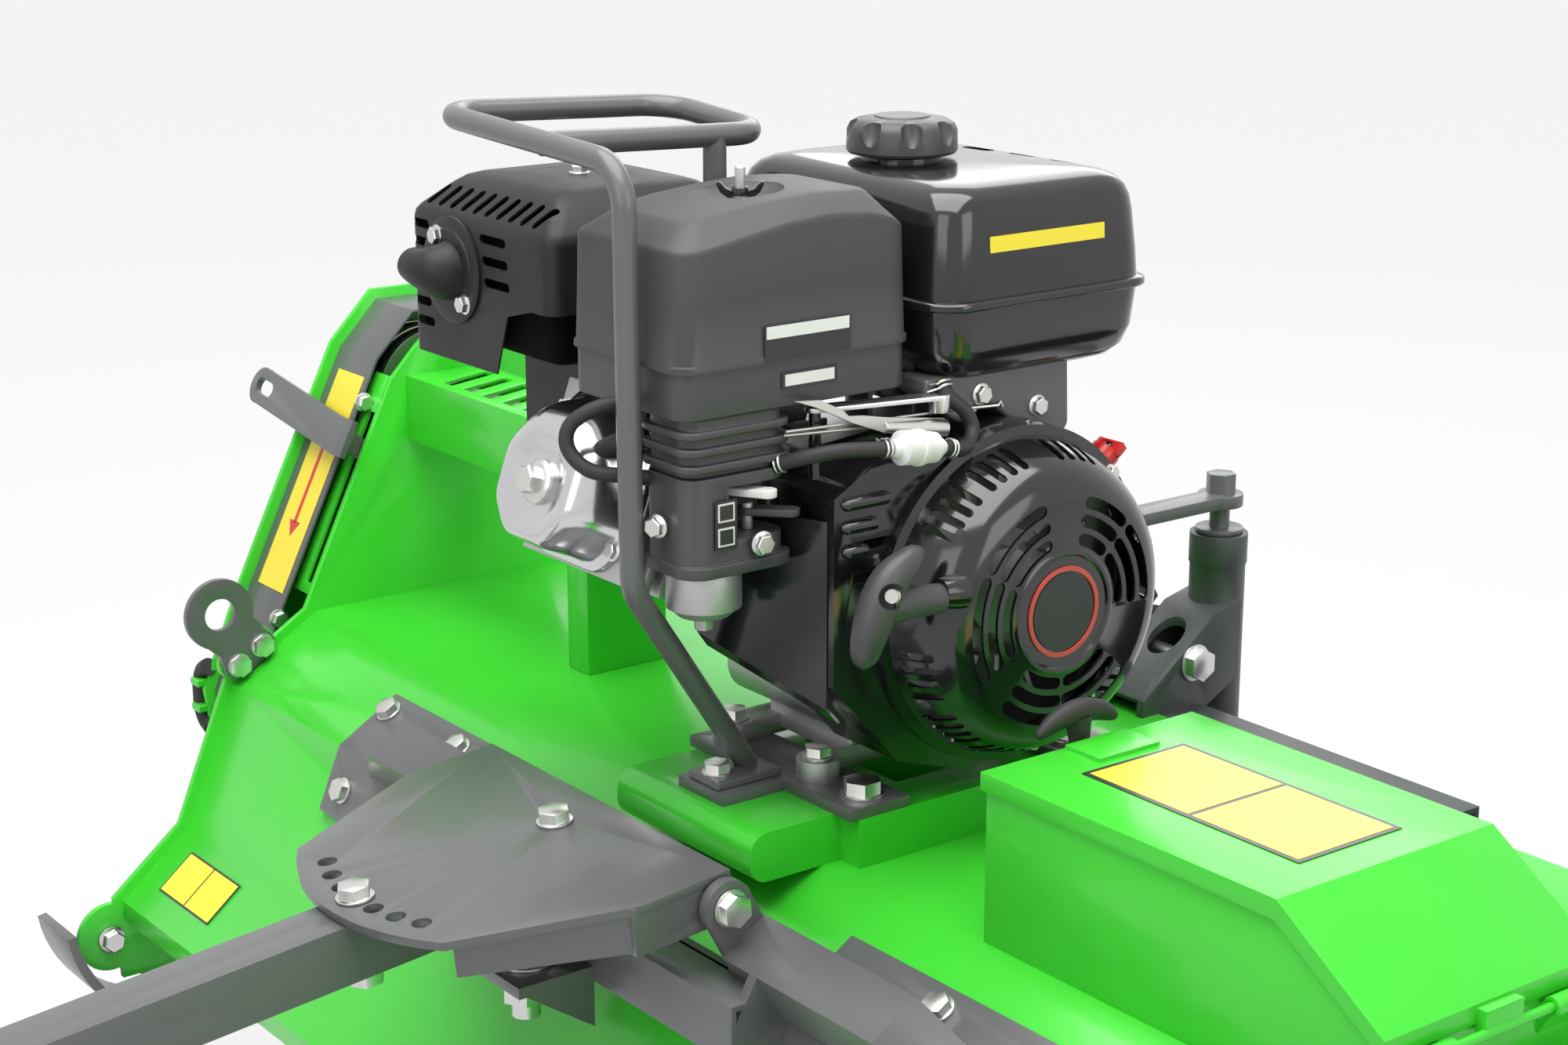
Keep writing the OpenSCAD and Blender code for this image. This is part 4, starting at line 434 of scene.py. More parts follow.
def finish_of(name):
    """The procedural material of a finish, built the first time that it is asked for."""
    if name in FINISHES:
        return FINISHES[name]
    colour, rough, metallic, coat, scale, height, waves, depth = FINISH_TABLE[name]
    rgb = getattr(bpy.context.scene.mower_colours, colour)
    material = bpy.data.materials.new(name)
    material.use_nodes = True
    tree = material.node_tree
    shader = tree.nodes["Principled BSDF"]
    set_inputs(shader, {"Metallic": metallic, "Specular IOR Level": SPECULAR.get(name, 0.5)})
    set_inputs(shader, {"Coat Weight": coat, "Coat Roughness": COAT_ROUGHNESS})
    tone = group_node(tree, "tone", Colour=(*rgb, 1.0), Scale=TONE_DRIFT[0], Amount=TONE_DRIFT[1])
    tree.links.new(tone.outputs["Colour"], shader.inputs["Base Color"])
    gloss = group_node(tree, "gloss", Roughness=rough, Scale=GLOSS_DRIFT[0], Amount=GLOSS_DRIFT[1] * rough)
    tree.links.new(gloss.outputs["Roughness"], shader.inputs["Roughness"])
    grain = group_node(tree, "grain", Scale=scale, Height=height, Waves=waves)
    bump = set_inputs(tree.nodes.new("ShaderNodeBump"), {"Strength": BUMP_STRENGTH, "Distance": depth * MM})
    tree.links.new(grain.outputs["Height"], bump.inputs["Height"])
    tree.links.new(bump.outputs["Normal"], shader.inputs["Normal"])
    FINISHES[name] = material
    return material


def colour_property(name, description, default):
    """A colour that a user may change."""
    return FloatVectorProperty(
        name=name, description=description, default=default, size=3, min=0.0, max=1.0, subtype="COLOR"
    )


def length_property(name, description, default):
    """A length in metres that a user may change."""
    return FloatProperty(name=name, description=description, default=default, precision=4, unit="LENGTH")


class MowerColours(PropertyGroup):
    """Colours of the mower's finishes."""

    lime: colour_property("Lime", "Powder coat of the deck and boxes", (0.05, 0.6, 0.032))
    graphite: colour_property("Graphite", "Powder coat of the frames", (0.105, 0.107, 0.108))
    black_enamel: colour_property("Enamel", "Gloss enamel of the engine sheet metal", (0.008, 0.008, 0.009))
    shield_black: colour_property("Heat paint", "Satin heat paint of the exhaust", (0.014, 0.014, 0.015))
    soot: colour_property("Soot", "Sooted muffler behind its shield", (0.004, 0.004, 0.004))
    dark_plastic: colour_property("Plastic", "Moulded plastic of the air filter", (0.05, 0.05, 0.052))
    zinc: colour_property("Zinc", "Plated bolts", (0.62, 0.62, 0.6))
    alloy: colour_property("Alloy", "Cast engine parts", (0.46, 0.46, 0.46))
    chrome: colour_property("Chrome", "Polished valve cover", (0.58, 0.58, 0.59))
    iron: colour_property("Iron", "Pulleys, bearings and flails", (0.12, 0.12, 0.125))
    rubber: colour_property("Rubber", "Hoses, flap and latch", (0.017, 0.017, 0.017))
    tyre: colour_property("Tyre", "Tyre rubber", (0.022, 0.022, 0.022))
    red: colour_property("Red", "Engine switch", (0.62, 0.014, 0.012))
    white: colour_property("White", "Fuel filter and choke knob", (0.74, 0.74, 0.72))
    label_yellow: colour_property("Label yellow", "Yellow plates", (0.9, 0.72, 0.04))
    label_dark: colour_property("Label dark", "Dark plates", (0.012, 0.012, 0.013))
    label_white: colour_property("Label white", "White plates", (0.78, 0.78, 0.76))
    label_red: colour_property("Label red", "Arrow on the housing band", (0.62, 0.02, 0.012))
    badge_coral: colour_property("Badge ring", "Ring round the starter badge", (0.6, 0.07, 0.05))
    jack_grey: colour_property("Jack grey", "Paint of the jack tube", (0.05, 0.058, 0.055))


class MowerSizes(PropertyGroup):
    """Sizes of the small parts and the count of tyre lugs."""

    bar_radius: length_property("Bar radius", "Radius of the guard bar", 0.008)
    hose_radius: length_property("Hose radius", "Radius of the fuel hose", 0.005)
    edge_width: length_property("Edge width", "Softened edge of the frame", 0.001)
    tread_count: IntProperty(name="Tread lugs", description="Lugs round each tyre", default=36)


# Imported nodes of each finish
NODE_FINISH = {
    "lime_coat": "deck_shell left_side_plate right_side_plate engine_platform guard_plate shaft_tunnel "
    "battery_box box_lid",
    "graphite_coat": "skids engine_rails belt_housing lift_brackets tension_lever rotor front_frame "
    "swivel_plate drawbar wheel_frame left_rim right_rim jack_crank guard_bar",
    "jack_grey": "jack_post",
    "black_enamel": "fuel_tank blower_housing recoil_cover",
    "shield_black": "muffler_shield exhaust_deflector",
    "soot": "muffler",
    "grained_plastic": "air_filter_cover",
    "smooth_plastic": "filter_base intake_cover fuel_cap recoil_handle fuel_lever battery",
    "zinc_plate": "fasteners plate_bolts lock_bolt drive_shaft idler_pulley jack_leg throttle_lever",
    "cast_alloy": "crankcase cylinder_head carburetor flywheel",
    "chrome": "valve_cover",
    "dark_iron": "rotor_pulley flail_row_a flail_row_b shaft_bearings",
    "black_rubber": "rear_flap drive_belts hoses box_latch",
    "tyre_rubber": "left_tyre right_tyre",
    "red_plastic": "engine_switch",
    "white_plastic": "choke_lever",
}

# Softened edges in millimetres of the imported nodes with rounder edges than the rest
EDGE_WIDTH = {
    "blower_housing": 5.0,
    "intake_cover": 2.5,
    "filter_base": 1.5,
    "engine_platform": 2.5,
    "front_frame": 2.5,
    "drawbar": 3.0,
    "crankcase": 1.0,
    "battery": 3.0,
    "box_lid": 1.2,
}

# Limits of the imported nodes' modifiers: joined points in metres, then flat, softened and sharp edges
JOIN_DISTANCE = 1e-5
FLAT_ANGLE = math.radians(0.4)
EDGE_ANGLE = math.radians(38)
SHARP_ANGLE = math.radians(32)


def make_edge_shading():
    """A geometry group that shades smooth and keeps edges over an angle sharp."""
    group = bpy.data.node_groups.new("Smooth by edge", "GeometryNodeTree")
    group.interface.new_socket(name="Geometry", in_out="INPUT", socket_type="NodeSocketGeometry")
    group.interface.new_socket(name="Geometry", in_out="OUTPUT", socket_type="NodeSocketGeometry")
    enter = group.nodes.new("NodeGroupInput")
    leave = group.nodes.new("NodeGroupOutput")
    faces = group.nodes.new("GeometryNodeSetShadeSmooth")
    faces.domain = "FACE"
    edges = group.nodes.new("GeometryNodeSetShadeSmooth")
    edges.domain = "EDGE"
    edges.inputs["Shade Smooth"].default_value = False
    angle = group.nodes.new("GeometryNodeInputMeshEdgeAngle")
    over = group.nodes.new("FunctionNodeCompare")
    over.operation = "GREATER_THAN"
    over.inputs["B"].default_value = SHARP_ANGLE
    group.links.new(angle.outputs["Unsigned Angle"], over.inputs["A"])
    group.links.new(over.outputs["Result"], edges.inputs["Selection"])
    for source, target in ((enter, faces), (faces, edges), (edges, leave)):
        group.links.new(source.outputs["Geometry"], target.inputs["Geometry"])
    return group


class MOWER_OT_frame_finish(Operator):
    """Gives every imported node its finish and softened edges"""

    bl_idname = "mower.frame_finish"
    bl_label = "Frame finish"

    def execute(self, context):
        shading = make_edge_shading()
        width = context.scene.mower_sizes.edge_width / MM
        for finish, names in NODE_FINISH.items():
            for name in names.split():
                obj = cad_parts[name]
                obj.data.materials.clear()
                obj.data.materials.append(finish_of(finish))
                weld = obj.modifiers.new("Join", "WELD")
                weld.merge_threshold = JOIN_DISTANCE
                flat = obj.modifiers.new("Flatten", "DECIMATE")
                flat.decimate_type = "DISSOLVE"
                flat.angle_limit = FLAT_ANGLE
                edge = obj.modifiers.new("Edges", "BEVEL")
                edge.width = EDGE_WIDTH.get(name, width) * MM
                edge.segments = 3 if name in EDGE_WIDTH else 2
                edge.limit_method = "ANGLE"
                edge.angle_limit = EDGE_ANGLE
                smooth = obj.modifiers.new("Shading", "NODES")
                smooth.node_group = shading
        return {"FINISHED"}


# Guard bar routes in the engine frame with their bends, and the bar's feet in the working frame
BAR_TOP = 297.0
BAR_ROUTE = [(146, 11, -121), (264, 49, 34), (266, 49, BAR_TOP + 10), (266, -176, BAR_TOP + 20),
             (81, -167, BAR_TOP + 13), (81, -51, BAR_TOP + 5), (262, -51, BAR_TOP + 12)]
BAR_LEG = [(125, -51, BAR_TOP + 7), (125, -51, 116), (52, -51, 102.5)]
BAR_BENDS = ((BAR_ROUTE, 30, 10), (BAR_LEG, 26, 8))
BAR_PADS = [((132, 10, 378), (186, 46, 384)), ((38, -52, 598), (66, -24, 604))]


class MOWER_OT_guard_bar(Operator):
    """Bends the guard bar over the engine with its feet"""

    bl_idname = "mower.guard_bar"
    bl_label = "Guard bar"

    def execute(self, context):
        r = context.scene.mower_sizes.bar_radius / MM
        bar = Solid()
        for route, bend, steps in BAR_BENDS:
            bar.sweep(at_engine(rounded(route, bend, steps)), r, 28)
        bar.done("guard_bar_tube", "graphite_coat", replaces=["guard_bar"])
        feet = Solid()
        for low, high in BAR_PADS:
            feet.box(low, high)
        feet.done("guard_bar_feet", "graphite_coat", bevel=1.5)
        return {"FINISHED"}


# Hose routes in the engine frame
FUEL_HOSE = [(178, 87, 112), (165, 106, 119), (148, 116, 122), (128, 121, 121), (112, 123, 120)]
TANK_HOSE = [(68, 123, 114), (50, 120, 109), (36, 113, 111), (30, 108, 119), (34, 105, 130), (44, 100, 140),
             (46, 94, 150)]
BREATHER = [(240, 46, 104), (256, 37, 106), (277, 22, 110), (285, 9, 123), (282, 8, 138), (268, 18, 149),
            (250, 28, 152), (232, 32, 148)]
PLUG_BOOT = [(238, 30, 128), (252, 16, 122), (262, 2, 112)]
HOSE_STEPS = 8
BOOT_SWELL = 1.5

# Fuel filter as radius, share of its length and shift
FILTER_PROFILE = [(4, 0, -1), (6, 0, 2), (6, 0, 6), (11.5, 0, 8), (11.5, 0.45, 0), (12.3, 0.47, 0),
                  (12.3, 0.55, 0), (11, 0.58, 0), (10.2, 1, -8), (6, 1, -6), (6, 1, -2), (4, 1, 1)]

# Clips as the hose and the count of steps along it, from its end where negative
CLIPS = ((FUEL_HOSE, -3), (TANK_HOSE, 3), (FUEL_HOSE, 1), (TANK_HOSE, -3))
CLIP_WIRE = 0.9
CLIP_HALF = 1.6


class MOWER_OT_hoses(Operator):
    """Runs the fuel and breather hoses and the fuel filter with its wire clips"""

    bl_idname = "mower.hoses"
    bl_label = "Hoses and fuel filter"

    def execute(self, context):
        r = context.scene.mower_sizes.hose_radius / MM
        hoses = Solid()
        for route, swell in ((FUEL_HOSE, 1), (TANK_HOSE, 1), (BREATHER, 1), (PLUG_BOOT, BOOT_SWELL)):
            hoses.sweep(at_engine(smooth_path(route, HOSE_STEPS)), swell * r, 20)
        hoses.done("hose_runs", "black_rubber", replaces=["hoses"])
        start, end = at_engine((FUEL_HOSE[-1], TANK_HOSE[0]))
        run = (end - start).length
        body = [(radius, run * share + shift) for radius, share, shift in FILTER_PROFILE]
        Solid().lathe(facing(start, end - start), body, 32).done("fuel_filter", "white_plastic")
        clips = Solid()
        for route, along in CLIPS:
            path = at_engine(smooth_path(route, HOSE_STEPS))
            i = along % len(path)
            m = facing(path[i], path[min(i + 1, len(path) - 1)] - path[i - 1])
            for h in (-CLIP_HALF, CLIP_HALF):
                loop = [m @ Vector(((r + 1) * c, (r + 1) * s, h)) for c, s in turns(20)]
                clips.sweep(loop, CLIP_WIRE, 6, closed=True)
            for s in (-1, 1):
                h = CLIP_HALF * s
                ear = [(r + 0.5, 0, h), (r + 5, 2 * s, h), (r + 9, 3 * s, h)]
                clips.sweep([m @ Vector(p) for p in ear], CLIP_WIRE, 6)
        clips.done("hose_clips", "zinc_plate")
        return {"FINISHED"}


# Air filter cover in the engine frame: corners, dish and nut, then heights of wall and crown along x
COVER = ((66.0, -40.0), (254.0, 91.0))
DISH_AT = (160.0, 25.5, 278)
NUT_AT = (160.0, 25.5, 273)
NUT_SPIN = 2.5
COVER_FOOT = 179.5
COVER_WALL = [(66, 256), (79, 262), (97, 267), (133, 269.5), (168, 267.4), (203, 262), (236, 256.5),
              (254, 256)]
COVER_CROWN = [(66, 276), (86, 279), (130, 281), (166, 279), (200, 275.5), (231, 270.5), (254, 266)]

# Rings of the cover's wall and crown as inset and share of the height
COVER_STEPS = [(-0.8, 0.0), (-0.8, 0.05), (0.4, 0.065), (1.4, 0.5), (2.2, 0.95), (2.8, 0.985), (3.8, 1.0)]
CROWN_STEPS = [(5.5, 0.1), (13.0, 0.52), (20.4, 0.92), (22.5, 0.985), (26.0, 1.0), (40.0, 1.02), (54.0, 1.03),
               (64.5, 1.03)]


def height_at(table, x):
    """A height read off a table of places and heights."""
    for (x0, z0), (x1, z1) in zip(table, table[1:]):
        if x <= x1:
            break
    return z0 + (z1 - z0) * (x - x0) / (x1 - x0)


def inset_ring(base, low, high, inset):
    """The outline's points drawn in towards its middle by an inset."""
    mid = [(a + b) / 2 for a, b in zip(low, high)]
    half = [(b - a) / 2 for a, b in zip(low, high)]
    return [tuple(m + (v - m) * (h - inset) / h for v, m, h in zip(p, mid, half)) for p in base]


def rounded_ring(low, high, r, per_corner=7):
    """Points of a rounded rectangle."""
    out = []
    corners = [(high[0] - r, high[1] - r, 0), (low[0] + r, high[1] - r, 90), (low[0] + r, low[1] + r, 180),
               (high[0] - r, low[1] + r, 270)]
    for x, y, start in corners:
        for k in range(per_corner):
            a = math.radians(start + 90 * k / (per_corner - 1))
            out.append((x + r * math.cos(a), y + r * math.sin(a)))
    return out


def split_long(points, longest):
    """Adds points along the long sides of a closed outline."""
    out = []
    for i, p in enumerate(points):
        q = points[(i + 1) % len(points)]
        n = max(1, math.ceil(math.dist(p, q) / longest))
        out.extend((p[0] + (q[0] - p[0]) * k / n, p[1] + (q[1] - p[1]) * k / n) for k in range(n))
    return out


def levels(base, box, table):
    """Rings at the heights and insets of a table, in the engine frame."""
    return [[eng(x, y, z) for x, y in inset_ring(base, *box, inset)] for z, inset in table]


def cover_ring(base, inset, share, crown):
    """One ring of the air filter cover at a share of its wall's or its crown's height."""
    ring = []
    for (x, y), (wall_x, _) in zip(inset_ring(base, *COVER, inset), base):
        wall = height_at(COVER_WALL, wall_x)
        start, end = (wall, height_at(COVER_CROWN, x)) if crown else (COVER_FOOT, wall)
        ring.append(eng(x, y, start + (end - start) * share))
    return ring


# Dish, stud and wing nut as radius and height, and one wing's outline
DISH_PROFILE = [(0.5, -5), (13, -5), (21, -3), (27, 0.5), (31, 6), (0.5, 6)]
STUD_PROFILE = [(3.4, -2), (3.4, 21), (2.6, 22)]
NUT_PROFILE = [(9, 0), (9, 1.5), (6, 2.5), (5.5, 8), (4.6, 9)]
WING_HALF = 2.4
WING = [(4, 1.5), (9, 2), (13, 5), (16, 11), (14.5, 12.5), (12, 11), (9, 7.5), (4, 6)]


class MOWER_OT_filter_cover(Operator):
    """Moulds the arched air filter cover with its wing nut"""

    bl_idname = "mower.filter_cover"
    bl_label = "Air filter cover"

    def execute(self, context):
        base = split_long(rounded_ring(*COVER, 17), 8)
        rings = [cover_ring(base, *step, False) for step in COVER_STEPS]
        rings += [cover_ring(base, *step, True) for step in CROWN_STEPS]
        dish = Solid().lathe(facing(eng(*DISH_AT), UP), DISH_PROFILE, 48)
        cover = Solid().rings(rings).cut(dish)
        cover.done("filter_cover", "grained_plastic", sharp=50, replaces=["air_filter_cover"])
        m = facing(eng(*NUT_AT), UP, NUT_SPIN)
        Solid().lathe(m, STUD_PROFILE, 20).done("filter_stud", "zinc_plate")
        nut = Solid().lathe(m, NUT_PROFILE, 24)
        upright = m @ Matrix.Rotation(math.radians(90), 4, "X")
        for s in (-1, 1):
            wing = [(s * x, z) for x, z in WING]
            nut.prism(upright, wing if s > 0 else list(reversed(wing)), -WING_HALF, WING_HALF)
        nut.done("filter_wing_nut", "black_enamel", bevel=1.2)
        return {"FINISHED"}


# Starter grip in the engine frame: its path, its stem and the eye with its screw
GRIP_PATH = [(117, 160, 63), (120, 160, 60), (130, 161, 54), (142, 161, 46), (151, 161, 33), (157, 161, 19),
             (160.5, 160, 6), (162.5, 160, -4), (163, 160, -9)]
GRIP_RADII = [3, 8, 12.5, 15.5, 16.5, 15.5, 13.5, 10, 3]
GRIP_STEM = [(12.5, 0), (12, 12), (10.5, 24), (10, 46)]
GRIP_STEM_AT = ((146, 159, 29), (-1, 0, -0.08))
GRIP_EYE = ((150, 172, 39), (0.75, 1, 0.2))
EYE_HOLE = [(8.5, -6), (9.5, 20)]
EYE_SCREW = [(5.6, -7), (5.6, -3), (4.6, -2), (4.2, -3), (2.5, -3)]


class MOWER_OT_starter_grip(Operator):
    """Moulds the starter grip with its stem and screw"""

    bl_idname = "mower.starter_grip"
    bl_label = "Starter grip"

    def execute(self, context):
        grip = Solid()
        path = at_engine(smooth_path(GRIP_PATH, CURVE_STEPS))
        grip.sweep(path, smooth_numbers(GRIP_RADII, CURVE_STEPS), 24, flat=0.8)
        eye = facing(eng(*GRIP_EYE[0]), GRIP_EYE[1])
        grip.cut(Solid().lathe(eye, EYE_HOLE, 28))
        grip.lathe(facing(eng(*GRIP_STEM_AT[0]), GRIP_STEM_AT[1]), GRIP_STEM, 28)
        grip.done("starter_grip", "smooth_plastic", "handle", sharp=60, replaces=["recoil_handle"])
        Solid().lathe(eye, EYE_SCREW, 20).done("starter_grip_screw", "zinc_plate", "handle")
        return {"FINISHED"}


# Screws on the engine's covers: the starter's by angle, the head's by place, the rest with aim and thread
STARTER_SCREWS = (20, 140, 260)
STARTER_SCREW_REACH = 122 * 0.915
STARTER_SCREW_Y = 121
STARTER_SCREW_LEAN = 0.3
HEAD_SCREWS = ((257, -48, 40), (257, 48, 40), (257, -48, -40), (257, 48, -40))
COVER_SCREWS = [
    ((253, 62, 78), (1, 0.35, 0), 7.5),
    ((194, 94, 64), (0.1, 1, 0), 7.5),
    ((10, 93, 136), (0, 1, 0), 7),
    ((-41, 93, 121), (0, 1, 0), 7),
]
HEAD_AXIS = (math.cos(CYLINDER_TILT), 0, math.sin(CYLINDER_TILT))


def engine_screws():
    """Place, direction and thread diameter of each screw on the engine's covers."""
    out = []
    for angle in STARTER_SCREWS:
        c = math.cos(math.radians(angle))
        s = math.sin(math.radians(angle))
        at = eng(STARTER_SCREW_REACH * c, STARTER_SCREW_Y, STARTER_SCREW_REACH * s)
        out.append((at, (c * STARTER_SCREW_LEAN, 1, s * STARTER_SCREW_LEAN), 6))
    out += [(eng(*at), normal, d) for at, normal, d in COVER_SCREWS]
    out += [(on_cylinder(*at), HEAD_AXIS, 6) for at in HEAD_SCREWS]
    return out


class MOWER_OT_engine_screws(Operator):
    """Sets the plated screws on the engine's covers"""

    bl_idname = "mower.engine_screws"
    bl_label = "Engine screws"

    def execute(self, context):
        screws = Solid()
        for i, (at, normal, d) in enumerate(engine_screws()):
            screws.screw(at, normal, d, spin=0.4 + 0.7 * i)
        screws.done("engine_screws", "zinc_plate")
        return {"FINISHED"}


def octagon_ring(u, half_v, half_w, cut, drop):
    """An eight-sided ring with softened corners across the cylinder."""
    corners = [
        (half_v - cut, -half_w), (half_v, -half_w + cut), (half_v, half_w - cut), (half_v - cut, half_w),
        (cut - half_v, half_w), (-half_v, half_w - cut), (-half_v, cut - half_w), (cut - half_v, -half_w),
    ]
    reach = min(0.36 * cut, 9.0)
    ring = []
    for i, p in enumerate(corners):
        a = Vector(corners[i - 1])
        b = Vector(corners[(i + 1) % 8])
        p = Vector(p)
        start = p + (a - p).normalized() * reach
        end = p + (b - p).normalized() * reach
        for t in (0.0, 0.33, 0.67, 1.0):
            q = start * (1 - t) ** 2 + p * 2 * t * (1 - t) + end * t * t
            ring.append(on_cylinder(u, q.x, q.y - drop))
    return ring


# Valve cover rings as place along the cylinder, half width, half height, corner cut and drop, and its bolt
HEAD_LEVELS = [(252, 61, 58, 26, 0), (256, 61, 58, 26, 0), (257.4, 60, 57, 26, 0), (258, 57, 54, 26, 0),
               (261, 54.5, 51.5, 26, 0.5), (280, 51, 48, 25, 3.5), (290, 48, 45, 24, 6),
               (296, 44.5, 41.5, 22, 8), (299.5, 40, 37.5, 20, 9.5), (300.5, 36, 34, 18, 10),
               (299.8, 32, 30, 16, 10), (296.5, 25, 24, 12, 10), (295, 19, 19, 9, 10), (295, 8, 8, 4, 10)]
HEAD_BOLT = (295, 0, -10)
HEAD_WASHER = [(15, -1), (15, 2.5), (13.5, 4), (11, 5)]
HEAD_HEXAGON = (17, 4, 14)


class MOWER_OT_valve_cover(Operator):
    """Draws the polished valve cover with its dished face and bolt"""

    bl_idname = "mower.valve_cover"
    bl_label = "Valve cover"

    def execute(self, context):
        cover = Solid().rings([octagon_ring(*level) for level in HEAD_LEVELS])
        cover.done("valve_cover_shell", "chrome", sharp=48, replaces=["valve_cover"])
        m = facing(on_cylinder(*HEAD_BOLT), HEAD_AXIS, 0.3)
        bolt = Solid().lathe(m, HEAD_WASHER, 32).hexagon(m, *HEAD_HEXAGON)
        bolt.done("valve_cover_bolt", "zinc_plate")
        return {"FINISHED"}


def arc_outline(r0, r1, a0, a1, steps=12, ends=5):
    """A curved slot with round ends, as points of a flat outline."""
    mid = (r0 + r1) / 2
    half = (r1 - r0) / 2
    spots = [(r1, a0 + (a1 - a0) * k / steps) for k in range(steps + 1)]
    for k in range(1, ends):
        b = math.pi * k / ends
        spots.append((mid + half * math.cos(b), a1 + half * math.sin(b) / mid))
    spots += [(r0, a1 + (a0 - a1) * k / steps) for k in range(steps + 1)]
    for k in range(1, ends):
        b = math.pi * k / ends
        spots.append((mid - half * math.cos(b), a0 - half * math.sin(b) / mid))
    return [(r * math.cos(a), r * math.sin(a)) for r, a in spots]


def stadium(length, width, steps=6):
    """A long slot with round ends, as points of a flat outline."""
    r = width / 2
    reach = length / 2 - r
    out = []
    for side in (1, -1):
        for k in range(steps + 1):
            a = math.pi * k / steps - math.pi / 2
            out.append((side * (reach + r * math.cos(a)), side * r * math.sin(a)))
    return out


# Starter cover as radius and depth, then its slots: arcs in degrees, their radii and trim, and the shoulder's
RECOIL_PROFILE = [(0.5, 169), (38, 169), (39.5, 170.6), (42, 170.6), (44, 169.4), (76, 168.8), (84, 167),
                  (91, 163), (97, 157), (102, 149), (106, 138), (109, 127), (111, 121.5), (117.5, 120),
                  (118, 115.4), (115.5, 115.4), (109.2, 119.4), (107, 127), (104, 137.5), (100.1, 148),
                  (95.4, 155.6), (89.7, 161.2), (83.2, 165), (76, 166.8), (0.5, 167)]
FACE_ARCS = [(104, 149), (153, 207), (-3, 40), (44, 75), (228, 268), (272, 317)]
ARC_RADII = [(45.5, 54, 4), (58, 66.5, 2), (70.5, 79, 2)]
ARC_DEPTHS = (155, 185)
SHOULDER_GROUPS = (135, 110, 75, 199, 227, 252, 22, 345, 312)
SHOULDER_PITCH = 5.6
SHOULDER_AT = (102.5, 0, 139)
SHOULDER_LEAN = math.radians(64)
SHOULDER_SLOT = (27, 6)
SHOULDER_DEPTHS = (-14, 14)
ROPE_OUTLET_AT = ((82, 159, 27), (1, 0, 0.1))
ROPE_OUTLET = [(12, 0), (11, 12), (9.5, 18)]

# Badge ring and disc as outer and inner radius, and depths
BADGE_RING = (31.5, 28, 168.6, 170.2)
BADGE_DISC = (26.8, 0.5, 168.6, 169.7)


class MOWER_OT_recoil_cover(Operator):
    """Presses the starter cover with its slots and sets the plain badge on it"""

    bl_idname = "mower.recoil_cover"
    bl_label = "Starter cover"

    def execute(self, context):
        m = Matrix.Translation(ENGINE) @ FACING_LEFT
        shell = Solid().lathe(m, RECOIL_PROFILE, 96)
        cutter = Solid()
        for a0, a1 in FACE_ARCS:
            for r0, r1, trim in ARC_RADII:
                outline = arc_outline(r0, r1, math.radians(a0 + trim), math.radians(a1 - trim))
                cutter.prism(m, outline, *ARC_DEPTHS)
        for middle in SHOULDER_GROUPS:
            for k in (-1.5, -0.5, 0.5, 1.5):
                a = math.radians(middle + SHOULDER_PITCH * k)
                spot = m @ Matrix.Rotation(a, 4, "Z") @ Matrix.Translation(SHOULDER_AT)
                spot = spot @ Matrix.Rotation(SHOULDER_LEAN, 4, "Y")
                cutter.prism(spot, stadium(*SHOULDER_SLOT), *SHOULDER_DEPTHS)
        shell.cut(cutter)
        shell.lathe(facing(eng(*ROPE_OUTLET_AT[0]), ROPE_OUTLET_AT[1]), ROPE_OUTLET, 28)
        shell.done("recoil_shell", "black_enamel", sharp=30, replaces=["recoil_cover"])
        Solid().ring_band(m, *BADGE_RING).done("badge_ring", "badge_coral", bevel=0.3)
        Solid().ring_band(m, *BADGE_DISC).done("badge_disc", "label_dark", slot="black_paint")
        return {"FINISHED"}


# Blower louvres as their ends and height, and the shroud's plates, in the working frame
LOUVRE_Y = 128
LOUVRE_CREST = 129.5
LOUVRE_RADII = [1.5, 4.5, 4.5, 1.5]
LOUVRES = [(107, 146, 590.5), (117, 146, 575), (125, 145, 558.5)]
SHROUD_THICKNESS = 2.0
SHROUD = [(153, 122, 451), (191, 30, 489), (191, 30, 579), (153, 122, 579)]
SHROUD_LIP = [(146, 126, 441), (185, 33, 479), (191, 30, 489), (153, 122, 451)]


class MOWER_OT_cowling(Operator):
    """Adds the louvres and the cylinder shroud of the blower housing"""

    bl_idname = "mower.cowling"
    bl_label = "Cowling details"

    def execute(self, context):
        trim = Solid()
        for x0, x1, z in LOUVRES:
            ends = ((x1, LOUVRE_Y), (x1 - 3, LOUVRE_CREST), (x0 + 3, LOUVRE_CREST), (x0, LOUVRE_Y))
            path = [(x, y, z) for x, y in ends]
            trim.sweep(path, LOUVRE_RADII, 16)
        for corners in (SHROUD, SHROUD_LIP):
            trim.plate(corners, SHROUD_THICKNESS)
        trim.done("cowling_trim", "black_enamel", sharp=50)
        return {"FINISHED"}


# Muffler in the engine frame: corners, then height and inset of each level
SHIELD = ((60.0, -275.0), (235.0, -87.0))
SHIELD_LEVELS = [(135, 0.0), (232, 0.0), (237, 1.0), (241, 4.0), (257, 22.0), (262, 29.0), (264.5, 37.0),
                 (265.5, 60.0)]
SHIELD_INSIDE = [(z - 1.0, inset + 0.9) for z, inset in reversed(SHIELD_LEVELS[2:])] + [(135, 1.2)]
SHIELD_TOP = [(262.5, 58.0), (265.4, 58.0)]
DRUM_LEVELS = [(147, 20.0), (150, 14.0), (156, 11.0), (222, 11.0), (232, 17.0), (240, 28.0), (244, 44.0)]
EXHAUST_PIPE = [(120, -110, 175), (120, -80, 175)]

